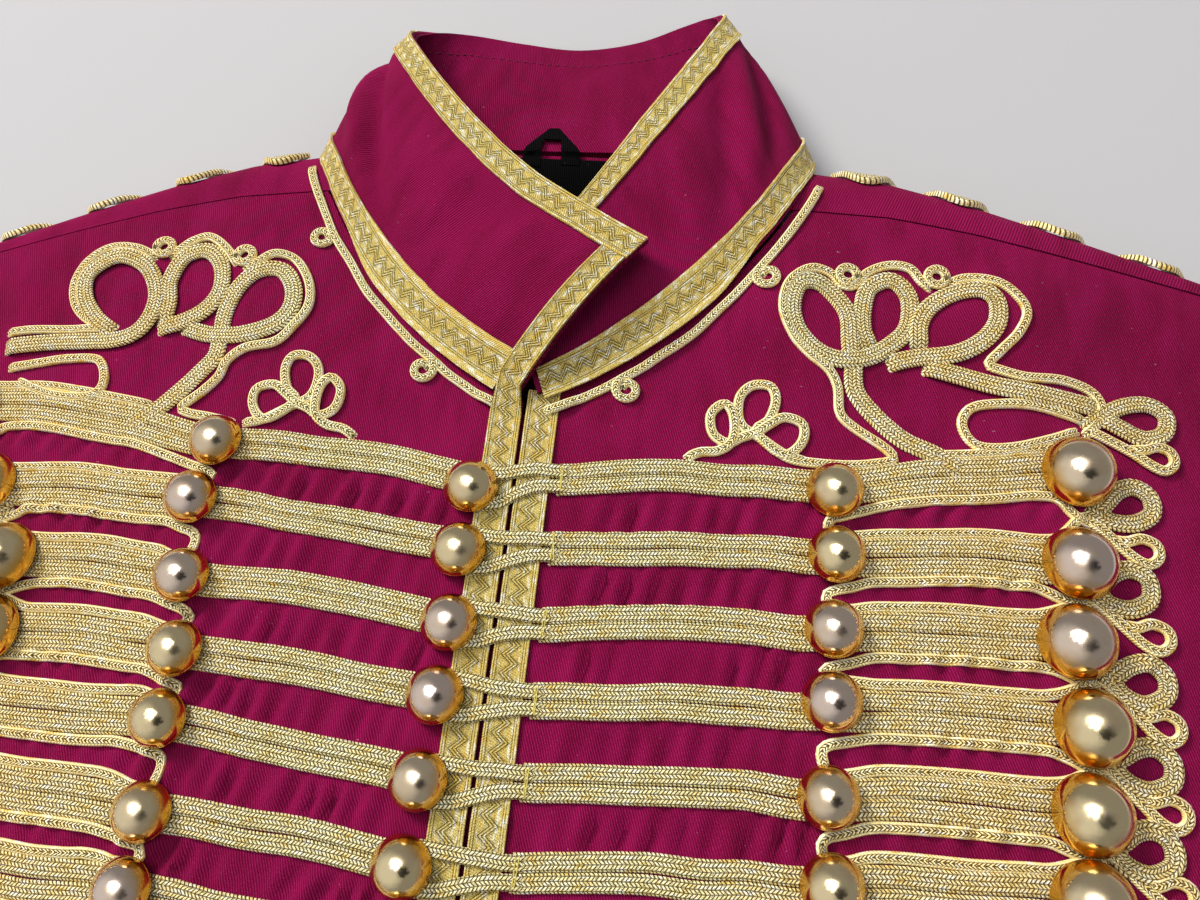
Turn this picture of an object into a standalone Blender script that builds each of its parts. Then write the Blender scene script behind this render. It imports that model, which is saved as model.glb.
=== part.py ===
"""Military drummer jacket, laid flat on its back.

The garment is a shell of cut pieces: two fronts over a back whose shoulders roll forward to the
shoulder seams, two-piece sleeves pressed flat, and a stand collar whose right half laps over the
left one. Braid, lace and buttons lie on those pieces. Left and right are the wearer's.

Lengths are in millimetres and become metres when a mesh is made. +X is the wearer's left, +Y runs
from the hem to the collar, +Z is up. The origin is on the surface below the foot of the collar.
"""
import math

import bmesh
import bpy
from mathutils import Vector
from mathutils.geometry import delaunay_2d_cdt

METRES = 0.001

# Cloth and trim thicknesses
WALL = 1.6
COLLAR_WALL = 1.2
FACING_WALL = 1.0
UNDERLAP_WALL = 1.2
LACE_THICK = 1.1
BRAID_THICK = 1.4
LABEL_THICK = 0.6
SEAM_GAP = 0.3
SHOULDER_SEAM_GAP = 0.6
ARMHOLE_GAP = 0.5
TIP_GAP = 0.9
FOLD_GAP = 1.8
TRIM_LIFT = 0.5
LACE_CROSSING_LIFT = 2.2

# Body
FRONT_GAP = 2.6
HEM_Y = -400.0
CHEST_HEIGHT = 28.0
HEM_HEIGHT = 16.0
SIDE_ROUNDING = 32.0
CROWN_HALF_WIDTH = 120.0
CROWN_FALL = 6.0
UNDERARM_X = 262.0
UNDERARM_Y = -192.0
WAIST_X = 244.0
WAIST_Y = -320.0
HEM_X = 250.0

# Neckline: a pointed oval, and the height and place of its back
NECK_HALF_WIDTH = 93.0
NECK_FRONT_Y = -7.0
NECK_SIDE_Y = 91.0
NECK_POWER = 1.37
NECK_BACK_Y = 104.0
NECK_BACK_HEIGHT = 10.0
NECK_RISE_START_Y = 78.0

# Shoulder: distance from the centre, the seam's place and the fold's place
SHOULDER = (
    # x, seam_y, fold_y
    (88.0, 74.0, 98.0),
    (120.0, 71.0, 92.5),
    (150.0, 64.5, 82.5),
    (180.0, 56.5, 71.0),
    (210.0, 48.5, 59.5),
    (236.0, 42.0, 50.0),
)
# The left shoulder tip lies this much higher, the right one this much lower
TIP_SKEW = 5.9

# Armhole, from the shoulder tip to the underarm
ARMHOLE = (
    # x, y
    (236.0, 42.0),
    (229.0, 0.0),
    (226.0, -60.0),
    (230.0, -106.0),
    (243.0, -151.0),
    (UNDERARM_X, UNDERARM_Y),
)

# Sleeve
SLEEVE_LENGTH = 610.0
SLEEVE_ANGLE = math.radians(-56.0)
CUFF_WIDTH = 132.0
SLEEVE_HEIGHT = 13.0
SLEEVE_FOLD_ROUNDING = 14.0
SLEEVE_SEAM_ROUNDING = 24.0

# Collar stations, from the right front edge round the back to the left front edge.
# Each has the seam point, the top-edge point and how far the cloth bows out between them.
COLLAR = (
    # seam_x, seam_y, seam_z, top_x, top_y, top_z, bow
    (-3.0, -6.5, 31.6, 37.0, 48.5, 43.0, 7.0),
    (-24.0, 5.6, 31.2, 16.0, 60.0, 43.5, 7.0),
    (-43.0, 20.0, 30.8, -7.0, 75.0, 43.5, 5.0),
    (-62.0, 39.0, 30.4, -26.0, 93.0, 42.5, 4.0),
    (-77.0, 58.5, 29.4, -45.0, 115.0, 39.5, 3.0),
    (-88.5, 78.5, 26.5, -58.0, 133.0, 35.5, 3.0),
    (-95.5, 92.0, 19.5, -66.0, 148.0, 28.0, 3.0),
    (-92.0, 101.0, 12.5, -63.0, 158.5, 17.5, 2.0),
    (-74.0, 104.5, 10.5, -48.0, 163.5, 9.0, 1.0),
    (-38.0, 105.0, 10.3, -26.0, 163.0, 4.5, 0.0),
    (0.0, 105.0, 10.3, -2.0, 161.5, 3.2, 0.0),
    (38.0, 106.0, 10.3, 22.0, 165.0, 4.5, 0.0),
    (72.0, 106.5, 10.5, 42.0, 170.0, 10.0, 1.0),
    (90.0, 104.0, 12.5, 54.0, 167.5, 20.0, 2.0),
    (94.5, 95.0, 19.5, 56.0, 157.0, 30.0, 3.0),
    (88.5, 79.0, 26.5, 50.0, 141.0, 34.5, 3.0),
    (77.0, 58.5, 29.4, 40.0, 122.0, 35.5, 3.0),
    (62.0, 39.0, 30.4, 28.5, 102.0, 35.5, 3.0),
    (43.0, 20.0, 30.8, 16.5, 81.0, 34.5, 2.5),
    (22.0, 4.4, 30.8, 2.0, 58.0, 33.0, 1.5),
    (3.5, -5.6, 30.8, -14.0, 38.0, 32.0, 0.3),
)
COLLAR_ROWS = (0.0, 0.17, 0.5, 0.835, 1.0)
LACE_WIDTH = 11.0
NECK_LACE_LOW = 0.015
NECK_LACE_HIGH = 0.17
TOP_LACE_LOW = 0.835

# Frogging rows
ROW_COUNT = 15
ROW_SPACING = 23.7
FIRST_ROW_Y = -38.0
ROW_SLOPE = 0.092
OUTER_ROW_SLOPE = 0.032
FIRST_ROW_RISE = 5.0
COLUMN_TAPER = 0.6
INNER_COLUMN_X = 105.0
OUTER_COLUMN_X = 176.0
CENTRE_BUTTON_X = -16.8
INNER_BAND_HEIGHT = 12.0
OUTER_BAND_HEIGHT = 17.4
LOOP_TACK_X = 15.0
SMALL_BUTTON_R = 9.0
SMALL_BUTTON_HEIGHT = 9.0
LARGE_BUTTON_R = 11.4
LARGE_BUTTON_HEIGHT = 11.0
BUTTON_SIDES = 8

# Loops beside the outer buttons: the big one's and the small one's centre from the button
LOOPS = (
    # row, big_x, big_y, big_length, big_width, small_x, small_y
    (1, 25.0, 24.0, 27.0, 18.0, 28.0, 9.5),
    (2, 20.0, 19.5, 22.0, 14.5, 20.5, 6.5),
    (3, 16.5, 11.6, 20.0, 12.8, 19.0, 1.2),
)
LOOP_BRAID = 5.4
SMALL_LOOP_LENGTH = 12.0
SMALL_LOOP_WIDTH = 8.0
SMALL_LOOP_BRAID = 3.0


# Knots above the first row, drawn for the left side
THIN_BRAID = 3.3
KNOT_BRAID = 8.6
KNOT_RINGS = (
    # x, y, length, width, degrees, braid
    (98.5, 26.5, 32.0, 24.5, 104.0, 6.3),
    (120.0, 31.0, 33.0, 22.0, 84.0, 6.0),
    (147.0, 29.5, 36.0, 27.0, 14.0, 7.0),
)
KNOT_STEM = ((108.0, 16.0), (107.5, 2.0), (112.0, -7.0), (123.5, -13.6))
KNOT_BAND = ((119.0, 17.5), (128.0, 14.5), (142.0, 11.5), (160.0, 8.5), (177.0, 4.5))
HAIRPIN = (162.0, -1.6, 40.0, 13.4, 6.0, 3.3)
EYELET = 9.0
EYELET_BRAID = 3.0
EYELETS = ((108.5, 41.5), (132.5, 41.5))
ORNAMENT_FOOT_X = 98.5
# Each side's fit: stretch, shift outwards and shift up
ORNAMENT_FIT = {1: (1.0, 0.0, 0.0), -1: (1.03, 1.5, 0.0)}
SMALL_KNOT_RINGS = (
    # x, y, length, width, degrees
    (63.0, -10.5, 12.0, 10.5, 60.0),
    (73.0, -0.5, 18.0, 13.5, 80.0),
    (87.0, -8.0, 16.0, 14.0, 120.0),
)
SMALL_KNOT_FEET = (
    ((75.0, -7.5), (70.0, -13.0), (64.0, -18.5), (60.5, -22.5)),
    ((76.0, -7.5), (82.0, -15.5), (87.0, -18.4), (92.0, -18.8)),
)
SMALL_KNOT_SHIFT = {1: 0.0, -1: 6.5}

# Thin braid round the neckline and over the shoulders
NECK_BRAID_OFFSET = 6.5
NECK_BRAID_START = 16.0
NECK_CURL_XS = (33.0, 74.0)
SHOULDER_BRAID_ROW = 2.0
SHOULDER_BRAID_REACH = 1.0
SHOULDER_BRAID_START = 104.0
SHOULDER_BRAID_END = 228.0
SHOULDER_BRAID_CREST = 112.0
SHOULDER_BRAID_PITCH = 33.0
SHOULDER_BRAID_STEPS = 23
COLLAR_LACE_STATION = 0.47

# Label and hanger loop inside the back of the neck
COLLAR_BACK_SLOPE = 0.127
LABEL_LEFT = -19.5
LABEL_RIGHT = 17.5
LABEL_LOW_Y = 74.0
HANGER_LEFT = -19.0
HANGER_RIGHT = 0.0
HANGER_MIDDLE = -10.5
HANGER_LOW = NECK_BACK_Y + 1.2
HANGER_HIGH = NECK_BACK_Y + 15.5

MATERIALS = {
    # name: (red, green, blue, metallic, roughness)
    "burgundy_twill": (0.27, 0.006, 0.06, 0.0, 0.75),
    "gold_lace": (0.68, 0.49, 0.16, 0.6, 0.45),
    "gold_braid": (0.66, 0.49, 0.19, 0.6, 0.5),
    "black_tape": (0.012, 0.012, 0.014, 0.0, 0.8),
}


# ---------------------------------------------------------------- numbers and curves

def smooth(value):
    """Ease from 0 to 1 as value goes from 0 to 1."""
    value = min(1.0, max(0.0, value))
    return value * value * (3.0 - 2.0 * value)


def lerp(low, high, share):
    return low + (high - low) * share


def through(rows, place):
    """A smooth curve through the rows of a table; place runs from 0 to the last row's number."""
    last = len(rows) - 1
    index = min(last - 1, max(0, int(math.floor(place))))
    share = place - index
    before = rows[max(0, index - 1)]
    here = rows[index]
    there = rows[index + 1]
    after = rows[min(last, index + 2)]
    values = []
    for b, h, t, a in zip(before, here, there, after):
        slope_here = 0.5 * (t - b)
        slope_there = 0.5 * (a - h)
        values.append(
            (2 * share**3 - 3 * share**2 + 1) * h
            + (share**3 - 2 * share**2 + share) * slope_here
            + (3 * share**2 - 2 * share**3) * t
            + (share**3 - share**2) * slope_there
        )
    return values


def table_at(rows, key):
    """Interpolate a table whose first column rises."""
    for low, high in zip(rows, rows[1:]):
        if key <= high[0]:
            share = (key - low[0]) / (high[0] - low[0])
            return [lerp(a, b, max(0.0, share)) for a, b in zip(low, high)]
    return list(rows[-1])


# ---------------------------------------------------------------- the garment's form

def side_x(y):
    """Half-width of the body at the side seam."""
    if y > WAIST_Y:
        return lerp(WAIST_X, UNDERARM_X, smooth((y - WAIST_Y) / (UNDERARM_Y - WAIST_Y)))
    return lerp(HEM_X, WAIST_X, smooth((y - HEM_Y) / (WAIST_Y - HEM_Y)))


def rounded(distance, rounding):
    """0 at an edge, 1 from the rounding inwards, along a quarter of an ellipse."""
    share = min(1.0, max(0.0, distance / rounding))
    return math.sqrt(1.0 - (1.0 - share) ** 2)


FOLD_FLOOR = WALL + SEAM_GAP


def front_height(x, y):
    """Height of the fronts' outer surface above the surface that the jacket lies on."""
    across = abs(x)
    height = lerp(CHEST_HEIGHT, HEM_HEIGHT, smooth((-200.0 - y) / 200.0))
    height -= CROWN_FALL * (max(0.0, across - CROWN_HALF_WIDTH) / 100.0) ** 2
    height -= 2.0 * (max(0.0, y - 20.0) / 55.0) ** 2
    if y < UNDERARM_Y:
        distance = side_x(y) - across
    else:
        distance = math.hypot(UNDERARM_X - across, y - UNDERARM_Y)
    return FOLD_FLOOR + (height - FOLD_FLOOR) * rounded(distance, SIDE_ROUNDING)


def neck_y(x):
    """The front neckline."""
    share = min(1.0, abs(x) / NECK_HALF_WIDTH)
    drop = (1.0 - share**NECK_POWER) ** (1.0 / NECK_POWER)
    return NECK_SIDE_Y - (NECK_SIDE_Y - NECK_FRONT_Y) * drop


def skew(side, x, y):
    """How much a point out to the shoulder lies higher on the left and lower on the right."""
    out = min(1.0, max(0.0, (x - HPS_X) / (ARMHOLE[0][0] - HPS_X)))
    return side * TIP_SKEW * out * smooth((y + 60.0) / (ARMHOLE[0][1] + 60.0))


def collar_point(station, rise):
    """The collar's outer surface: station along it, rise 0 at the seam and 1 at the top edge."""
    index = min(len(COLLAR) - 2, int(station))
    here = collar_row_point(index, rise)
    there = collar_row_point(index + 1, rise)
    return here.lerp(there, station - index)


def collar_row_point(number, rise):
    """On one row of the collar's table, bowed out between its seam and its top edge."""
    row = COLLAR[number]
    seam = Vector(row[0:3])
    top = Vector(row[3:6])
    ahead = COLLAR[min(len(COLLAR) - 1, number + 1)]
    behind = COLLAR[max(0, number - 1)]
    along = Vector(ahead[0:3]) + Vector(ahead[3:6]) - Vector(behind[0:3]) - Vector(behind[3:6])
    outward = (top - seam).cross(along).normalized()
    return seam.lerp(top, rise) + outward * (row[6] * 4.0 * rise * (1.0 - rise))


def collar_normal(station, rise):
    last = len(COLLAR) - 1
    step = 0.5
    rise_step = 0.05
    ahead = collar_point(min(last, station + step), rise)
    behind = collar_point(max(0.0, station - step), rise)
    upper = collar_point(station, min(1.0, rise + rise_step))
    lower = collar_point(station, max(0.0, rise - rise_step))
    return (upper - lower).cross(ahead - behind).normalized()


# ---------------------------------------------------------------- solids

def material(name):
    found = bpy.data.materials.get(name)
    if found:
        return found
    red, green, blue, metallic, roughness = MATERIALS[name]
    made = bpy.data.materials.new(name)
    made.use_nodes = True
    shader = made.node_tree.nodes["Principled BSDF"]
    shader.inputs["Base Color"].default_value = (red, green, blue, 1.0)
    shader.inputs["Metallic"].default_value = metallic
    shader.inputs["Roughness"].default_value = roughness
    made.diffuse_color = (red, green, blue, 1.0)
    return made


def add_object(name, points, faces, material_name):
    """A closed solid from points in millimetres; loose points are dropped and faces face out."""
    mesh = bpy.data.meshes.new(name)
    mesh.from_pydata([tuple(point * METRES) for point in points], [], faces)
    work = bmesh.new()
    work.from_mesh(mesh)
    bmesh.ops.delete(work, geom=[v for v in work.verts if not v.link_faces], context="VERTS")
    bmesh.ops.recalc_face_normals(work, faces=work.faces)
    bmesh.ops.triangulate(work, faces=work.faces)
    if work.calc_volume(signed=True) < 0.0:
        bmesh.ops.reverse_faces(work, faces=work.faces)
    work.to_mesh(mesh)
    work.free()
    mesh.materials.append(material(material_name))
    mesh.shade_smooth()
    mesh.set_sharp_from_angle(angle=math.radians(35.0))
    made = bpy.data.objects.new(name, mesh)
    bpy.context.scene.collection.objects.link(made)
    return made


def close_sheet(outer, inner, faces):
    """Faces of a closed wall: the outer sheet, the inner one turned over, and the edge between."""
    count = len(outer)
    closed = list(faces) + [tuple(count + i for i in reversed(face)) for face in faces]
    directed = set()
    for face in faces:
        for a, b in zip(face, face[1:] + face[:1]):
            directed.add((a, b))
    for a, b in sorted(directed):
        if (b, a) not in directed:
            closed.append((b, a, count + a, count + b))
    return list(outer) + list(inner), closed


def grid_faces(rows, columns, skip=()):
    faces = []
    for row in range(rows - 1):
        for column in range(columns - 1):
            if (row, column) in skip:
                continue
            corner = row * columns + column
            faces.append((corner, corner + 1, corner + columns + 1, corner + columns))
    return faces


def sheet_normals(points, faces):
    normals = [Vector((0.0, 0.0, 0.0)) for _ in points]
    for face in faces:
        across = points[face[2]] - points[face[0]]
        down = points[face[3]] - points[face[1]]
        turn = across.cross(down)
        for index in face:
            normals[index] += turn
    return [n.normalized() if n.length > 0.0 else Vector((0.0, 0.0, 1.0)) for n in normals]


def cloth_from_grid(name, grid, wall, floor=None, skip=(), flip=False, material_name="burgundy_twill"):
    """A cloth wall under a grid of outer points; floor keeps the inner side off what lies below."""
    rows = len(grid)
    columns = len(grid[0])
    outer = [point for row in grid for point in row]
    faces = grid_faces(rows, columns, skip)
    normals = sheet_normals(outer, faces)
    sign = 1.0 if flip else -1.0
    inner = [point + normal * (wall * sign) for point, normal in zip(outer, normals)]
    if floor is not None:
        for point in inner:
            point.z = max(point.z, floor)
    points, closed = close_sheet(outer, inner, faces)
    return add_object(name, points, closed, material_name)


# ---------------------------------------------------------------- body

FRONT_COLUMNS = (0.0, 0.12, 0.24, 0.36, 0.48, 0.6, 0.72, 0.83, 0.9, 0.95, 0.985, 1.0)
LOWER_ROWS = 5
NECK_ROWS = 5
HPS_X = 87.0
# Places on the armhole, from the underarm to the shoulder tip, where fronts, back and sleeves meet
ARMHOLE_STATIONS = (0.0, 0.04, 0.12, 0.28, 0.45, 0.6, 0.68, 0.76, 0.84, 0.92, 1.0)


def armhole_point(share):
    """On the armhole: 0 at the underarm, 1 at the shoulder tip."""
    x, y = through(ARMHOLE, (1.0 - share) * (len(ARMHOLE) - 1))
    return x, y


def front_rows():
    """Pairs of row ends in plan, from the hem up: on the front edge or neckline, and outside."""
    edge_x = FRONT_GAP / 2.0
    ends = []
    for i in range(LOWER_ROWS):
        y = lerp(HEM_Y, UNDERARM_Y, i / LOWER_ROWS)
        ends.append(((edge_x, y), (side_x(y), y)))
    chest = ARMHOLE_STATIONS[:-NECK_ROWS - 1]
    neck = ARMHOLE_STATIONS[-NECK_ROWS - 1:]
    for place in chest:
        share = place / neck[0]
        ends.append(((edge_x, lerp(UNDERARM_Y, neck_y(edge_x), share)), armhole_point(place)))
    for i, place in enumerate(neck):
        x = lerp(edge_x, HPS_X, i / NECK_ROWS)
        ends.append(((x, neck_y(x)), armhole_point(place)))
    return ends


def make_front(name, side):
    grid = []
    ends = front_rows()
    top = len(ends) - 1
    for number, (inside, outside) in enumerate(ends):
        row = []
        for share in FRONT_COLUMNS:
            x = lerp(inside[0], outside[0], share)
            y = lerp(inside[1], outside[1], share)
            lift = smooth((number - (top - NECK_ROWS)) / NECK_ROWS)
            target = table_at(SHOULDER, x)[1] - SHOULDER_SEAM_GAP
            line_y = lerp(ends[-1][0][1], ends[-1][1][1], share)
            if x >= HPS_X:
                y += (target - line_y) * lift
            y += skew(side, x, y)
            row.append(Vector((side * x, y, front_height(x, y))))
        grid.append(row)
    return cloth_from_grid(name, grid, WALL, floor=FOLD_FLOOR, flip=side < 0)


BACK_LOWER_YS = (HEM_Y, -360.0, WAIST_Y, -256.0)
NECK_COLUMNS = (0.0, 45.0, 84.0)
SHOULDER_XS = (90.0, 120.0, 150.0, 180.0, 210.0, 236.0)
# How the shoulder rolls: share of the way from seam to fold, share of the height, neck edge's x
ROLL = (
    # seam_to_fold, height, neck_x
    (0.72, 0.0, 96.5),
    (0.93, 0.12, 98.0),
    (1.0, 0.42, 98.8),
    (0.86, 0.76, 98.0),
    (0.5, 0.95, 95.5),
    (0.0, 1.0, 90.0),
)


def shoulder_roll(side):
    """Rows of outer points that roll from the surface up over the fold to the shoulder seam."""
    rows = []
    for along, height_share, neck_x in ROLL:
        row = []
        for x in (neck_x,) + SHOULDER_XS[1:]:
            _, seam_y, fold_y = table_at(SHOULDER, x)
            y = lerp(seam_y, fold_y, along) + skew(side, x, seam_y)
            row.append(Vector((side * x, y, front_height(x, seam_y) * height_share)))
        rows.append(row)
    return rows


def make_back():
    """The back: flat on the surface, with a neck edge that rises and shoulders that roll forward."""
    count = len(NECK_COLUMNS) + len(SHOULDER_XS)
    grid = []
    ends = [(side_x(y), y) for y in BACK_LOWER_YS]
    ends += [armhole_point(place) for place in ARMHOLE_STATIONS]
    for outside, y in ends:
        row = []
        for c in range(1 - count, count):
            x = outside * c / (count - 1)
            side = 1 if c > 0 else -1
            row.append(Vector((x, y + skew(side, abs(x), y), 0.0)))
        grid.append(row)
    rolls = {side: shoulder_roll(side) for side in (1, -1)}
    last = len(ROLL) - 1
    for number in range(len(ROLL)):
        rise = number / last
        neck = []
        for x in NECK_COLUMNS:
            y = lerp(NECK_RISE_START_Y, NECK_BACK_Y - 1.5 * (x / NECK_COLUMNS[-1]) ** 2, rise)
            neck.append(Vector((x, y, NECK_BACK_HEIGHT * smooth(rise))))
        right = [Vector((-p.x, p.y, p.z)) for p in neck[:0:-1]]
        grid.append(rolls[-1][number][::-1] + right + neck + rolls[1][number])
    middle = count - 1
    neck_edge = len(NECK_COLUMNS) - 1
    skip = set()
    for row in range(len(ends), len(grid) - 1):
        skip.add((row, middle + neck_edge))
        skip.add((row, middle - neck_edge - 1))
    return cloth_from_grid("back", grid, WALL, skip=skip, flip=True)


def sleeve_row_ends(share):
    """Fold end and underarm end of a cross-section of the sleeve in plan."""
    along = Vector((math.cos(SLEEVE_ANGLE), math.sin(SLEEVE_ANGLE)))
    across = Vector((-along.y, along.x))
    tip = Vector((ARMHOLE[0][0] + SEAM_GAP, SHOULDER[-1][2]))
    cuff_outer = tip + along * SLEEVE_LENGTH
    cuff_inner = cuff_outer - across * CUFF_WIDTH
    underarm = Vector((UNDERARM_X + SEAM_GAP, UNDERARM_Y))
    elbow = math.sin(math.pi * share)
    outer = tip.lerp(cuff_outer, share) + across * (7.0 * elbow)
    inner = underarm.lerp(cuff_inner, share) + across * (5.0 * elbow)
    return outer, inner


SLEEVE_ROWS = (0.0, 0.06, 0.16, 0.3, 0.45, 0.6, 0.75, 0.9, 1.0)
FOLD_COLUMNS = (0.0, 0.012, 0.035)
SLEEVE_COLUMNS = FOLD_COLUMNS[:-1] + tuple(
    lerp(FOLD_COLUMNS[-1], 1.0, 1.0 - place) for place in reversed(ARMHOLE_STATIONS)
)


def sleeve_plan(share, column_share):
    outer, inner = sleeve_row_ends(share)
    straight = outer.lerp(inner, column_share)
    tip_y = ARMHOLE[0][1]
    top_share = FOLD_COLUMNS[-1]
    if column_share < top_share:
        y = lerp(SHOULDER[-1][2], tip_y, column_share / top_share)
        arm = Vector((ARMHOLE[0][0] + FOLD_GAP, y))
    else:
        place = (column_share - top_share) / (1.0 - top_share)
        x, y = armhole_point(1.0 - place)
        arm = Vector((x + ARMHOLE_GAP + TIP_GAP * smooth(y / tip_y), y))
    return arm.lerp(straight, smooth(share / 0.3))


def make_sleeve(name, side, upper):
    grid = []
    for share in SLEEVE_ROWS:
        outer, inner = sleeve_row_ends(share)
        width = (outer - inner).length
        height = lerp(front_height(ARMHOLE[0][0], ARMHOLE[0][1]), SLEEVE_HEIGHT, smooth(share / 0.8))
        row = []
        for column_share in SLEEVE_COLUMNS:
            plan = sleeve_plan(share, column_share)
            shift = skew(side, plan.x, plan.y) * (1.0 - smooth(share / 0.3))
            if not upper:
                row.append(Vector((side * plan.x, plan.y + shift, 0.0)))
                continue
            tube = min(
                rounded(column_share * width, SLEEVE_FOLD_ROUNDING),
                rounded((1.0 - column_share) * width, SLEEVE_SEAM_ROUNDING),
            )
            tube_z = FOLD_FLOOR + (height - FOLD_FLOOR) * tube
            if column_share >= FOLD_COLUMNS[-1]:
                arm_z = front_height(plan.x, min(plan.y, ARMHOLE[0][1]))
            else:
                share_up = math.sqrt(column_share / FOLD_COLUMNS[-1])
                arm_z = lerp(FOLD_FLOOR, front_height(*ARMHOLE[0]), share_up)
            z = lerp(arm_z, tube_z, smooth(share / 0.25))
            row.append(Vector((side * plan.x, plan.y + shift, z)))
        grid.append(row)
    if upper:
        return cloth_from_grid(name, grid, WALL, floor=FOLD_FLOOR, flip=side < 0)
    return cloth_from_grid(name, grid, WALL, flip=side > 0)


def make_underlap():
    """The strip behind the front opening, sewn to the left front."""
    xs = (-12.0, 0.0, 12.0, 24.0)
    ys = [lerp(HEM_Y + 2.0, -12.0, i / 12.0) for i in range(13)]
    drop = WALL + SEAM_GAP + 0.15
    grid = [[Vector((x, y, front_height(x, y) - drop)) for x in xs] for y in ys]
    return cloth_from_grid("front_underlap", grid, UNDERLAP_WALL)


# ---------------------------------------------------------------- collar

def collar_stations():
    return [float(i) for i in range(len(COLLAR))]


def collar_wall(name, outside, inside):
    """A layer of the collar between two distances in from its outer surface."""
    stations = collar_stations()
    outer = []
    inner = []
    for station in stations:
        for rise in COLLAR_ROWS:
            point = collar_point(station, rise)
            normal = collar_normal(station, rise)
            outer.append(point - normal * outside)
            inner.append(point - normal * inside)
    faces = grid_faces(len(stations), len(COLLAR_ROWS))
    points, closed = close_sheet(outer, inner, faces)
    return add_object(name, points, closed, "burgundy_twill")


def ribbon(name, lefts, rights, normals, lift, thick, material_name):
    """A flat strip with a square section between two edge lines, lifted along the normals."""
    outer = []
    inner = []
    for left, right, normal in zip(lefts, rights, normals):
        outer += [left + normal * (lift + thick), right + normal * (lift + thick)]
        inner += [left + normal * lift, right + normal * lift]
    faces = grid_faces(len(lefts), 2)
    points, closed = close_sheet(outer, inner, faces)
    return add_object(name, points, closed, material_name)


def collar_ribbon(name, first, last, low, high):
    lefts = []
    rights = []
    normals = []
    between = [s for s in collar_stations() if first < s < last]
    for station in [first] + between + [last]:
        lefts.append(collar_point(station, low))
        rights.append(collar_point(station, high))
        normals.append(collar_normal(station, 0.5 * (low + high)))
    return ribbon(name, lefts, rights, normals, TRIM_LIFT, LACE_THICK, "gold_lace")


# ---------------------------------------------------------------- flat trims on the fronts

def inside(point, polygon):
    x, y = point
    hit = False
    for (x0, y0), (x1, y1) in zip(polygon, polygon[1:] + polygon[:1]):
        if (y0 > y) != (y1 > y) and x < (x1 - x0) * (y - y0) / (y1 - y0) + x0:
            hit = not hit
    return hit


def covered(point, shapes):
    for outline, holes in shapes:
        if inside(point, outline) and not any(inside(point, hole) for hole in holes):
            return True
    return False


def triangulate(loops, shapes):
    """Triangles of the plan that the shapes cover, with every loop's edges kept."""
    verts = []
    edges = []
    for loop in loops:
        start = len(verts)
        verts += [Vector(point) for point in loop]
        if len(loop) > 1:
            edges += [(start + i, start + (i + 1) % len(loop)) for i in range(len(loop))]
    made = delaunay_2d_cdt(verts, edges, [], 0, 0.02, False)
    points = [tuple(point) for point in made[0]]
    faces = []
    for face in made[2]:
        middle = (
            sum(points[i][0] for i in face) / 3.0,
            sum(points[i][1] for i in face) / 3.0,
        )
        if covered(middle, shapes):
            faces.append(tuple(face))
    return points, faces


def boundary_loops(points, faces):
    directed = set()
    for face in faces:
        for a, b in zip(face, face[1:] + face[:1]):
            directed.add((a, b))
    following = {a: b for a, b in directed if (b, a) not in directed}
    loops = []
    while following:
        start = min(following)
        loop = [start]
        step = following.pop(start)
        while step != start:
            loop.append(step)
            step = following.pop(step)
        loops.append([points[i] for i in loop])
    return loops


def circle(x, y, radius, sides, start=0.0):
    turn = 2.0 * math.pi / sides
    return [
        (x + radius * math.cos(start + i * turn), y + radius * math.sin(start + i * turn))
        for i in range(sides)
    ]


def ellipse(x, y, length, width, angle, sides):
    """An ellipse whose long axis points along the angle."""
    points = []
    for i in range(sides):
        turn = 2.0 * math.pi * i / sides
        u = 0.5 * length * math.cos(turn)
        v = 0.5 * width * math.sin(turn)
        points.append((x + u * math.cos(angle) - v * math.sin(angle),
                       y + u * math.sin(angle) + v * math.cos(angle)))
    return points


def ring(x, y, length, width, angle, braid, sides=8):
    hole = ellipse(x, y, length - 2.0 * braid, width - 2.0 * braid, angle, sides)
    return ellipse(x, y, length, width, angle, sides), [hole]


def strip(points, width):
    """The outline of a band of even width along a line of plan points."""
    left = []
    right = []
    for i, point in enumerate(points):
        before = Vector(points[max(0, i - 1)])
        after = Vector(points[min(len(points) - 1, i + 1)])
        along = (after - before).normalized()
        side = Vector((-along.y, along.x)) * (0.5 * width)
        left.append(tuple(Vector(point) + side))
        right.append(tuple(Vector(point) - side))
    return left + right[::-1], []


DOME_RINGS = (
    # share of the radius, share of the height
    (0.97, 0.3),
    (0.66, 0.76),
)


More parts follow.
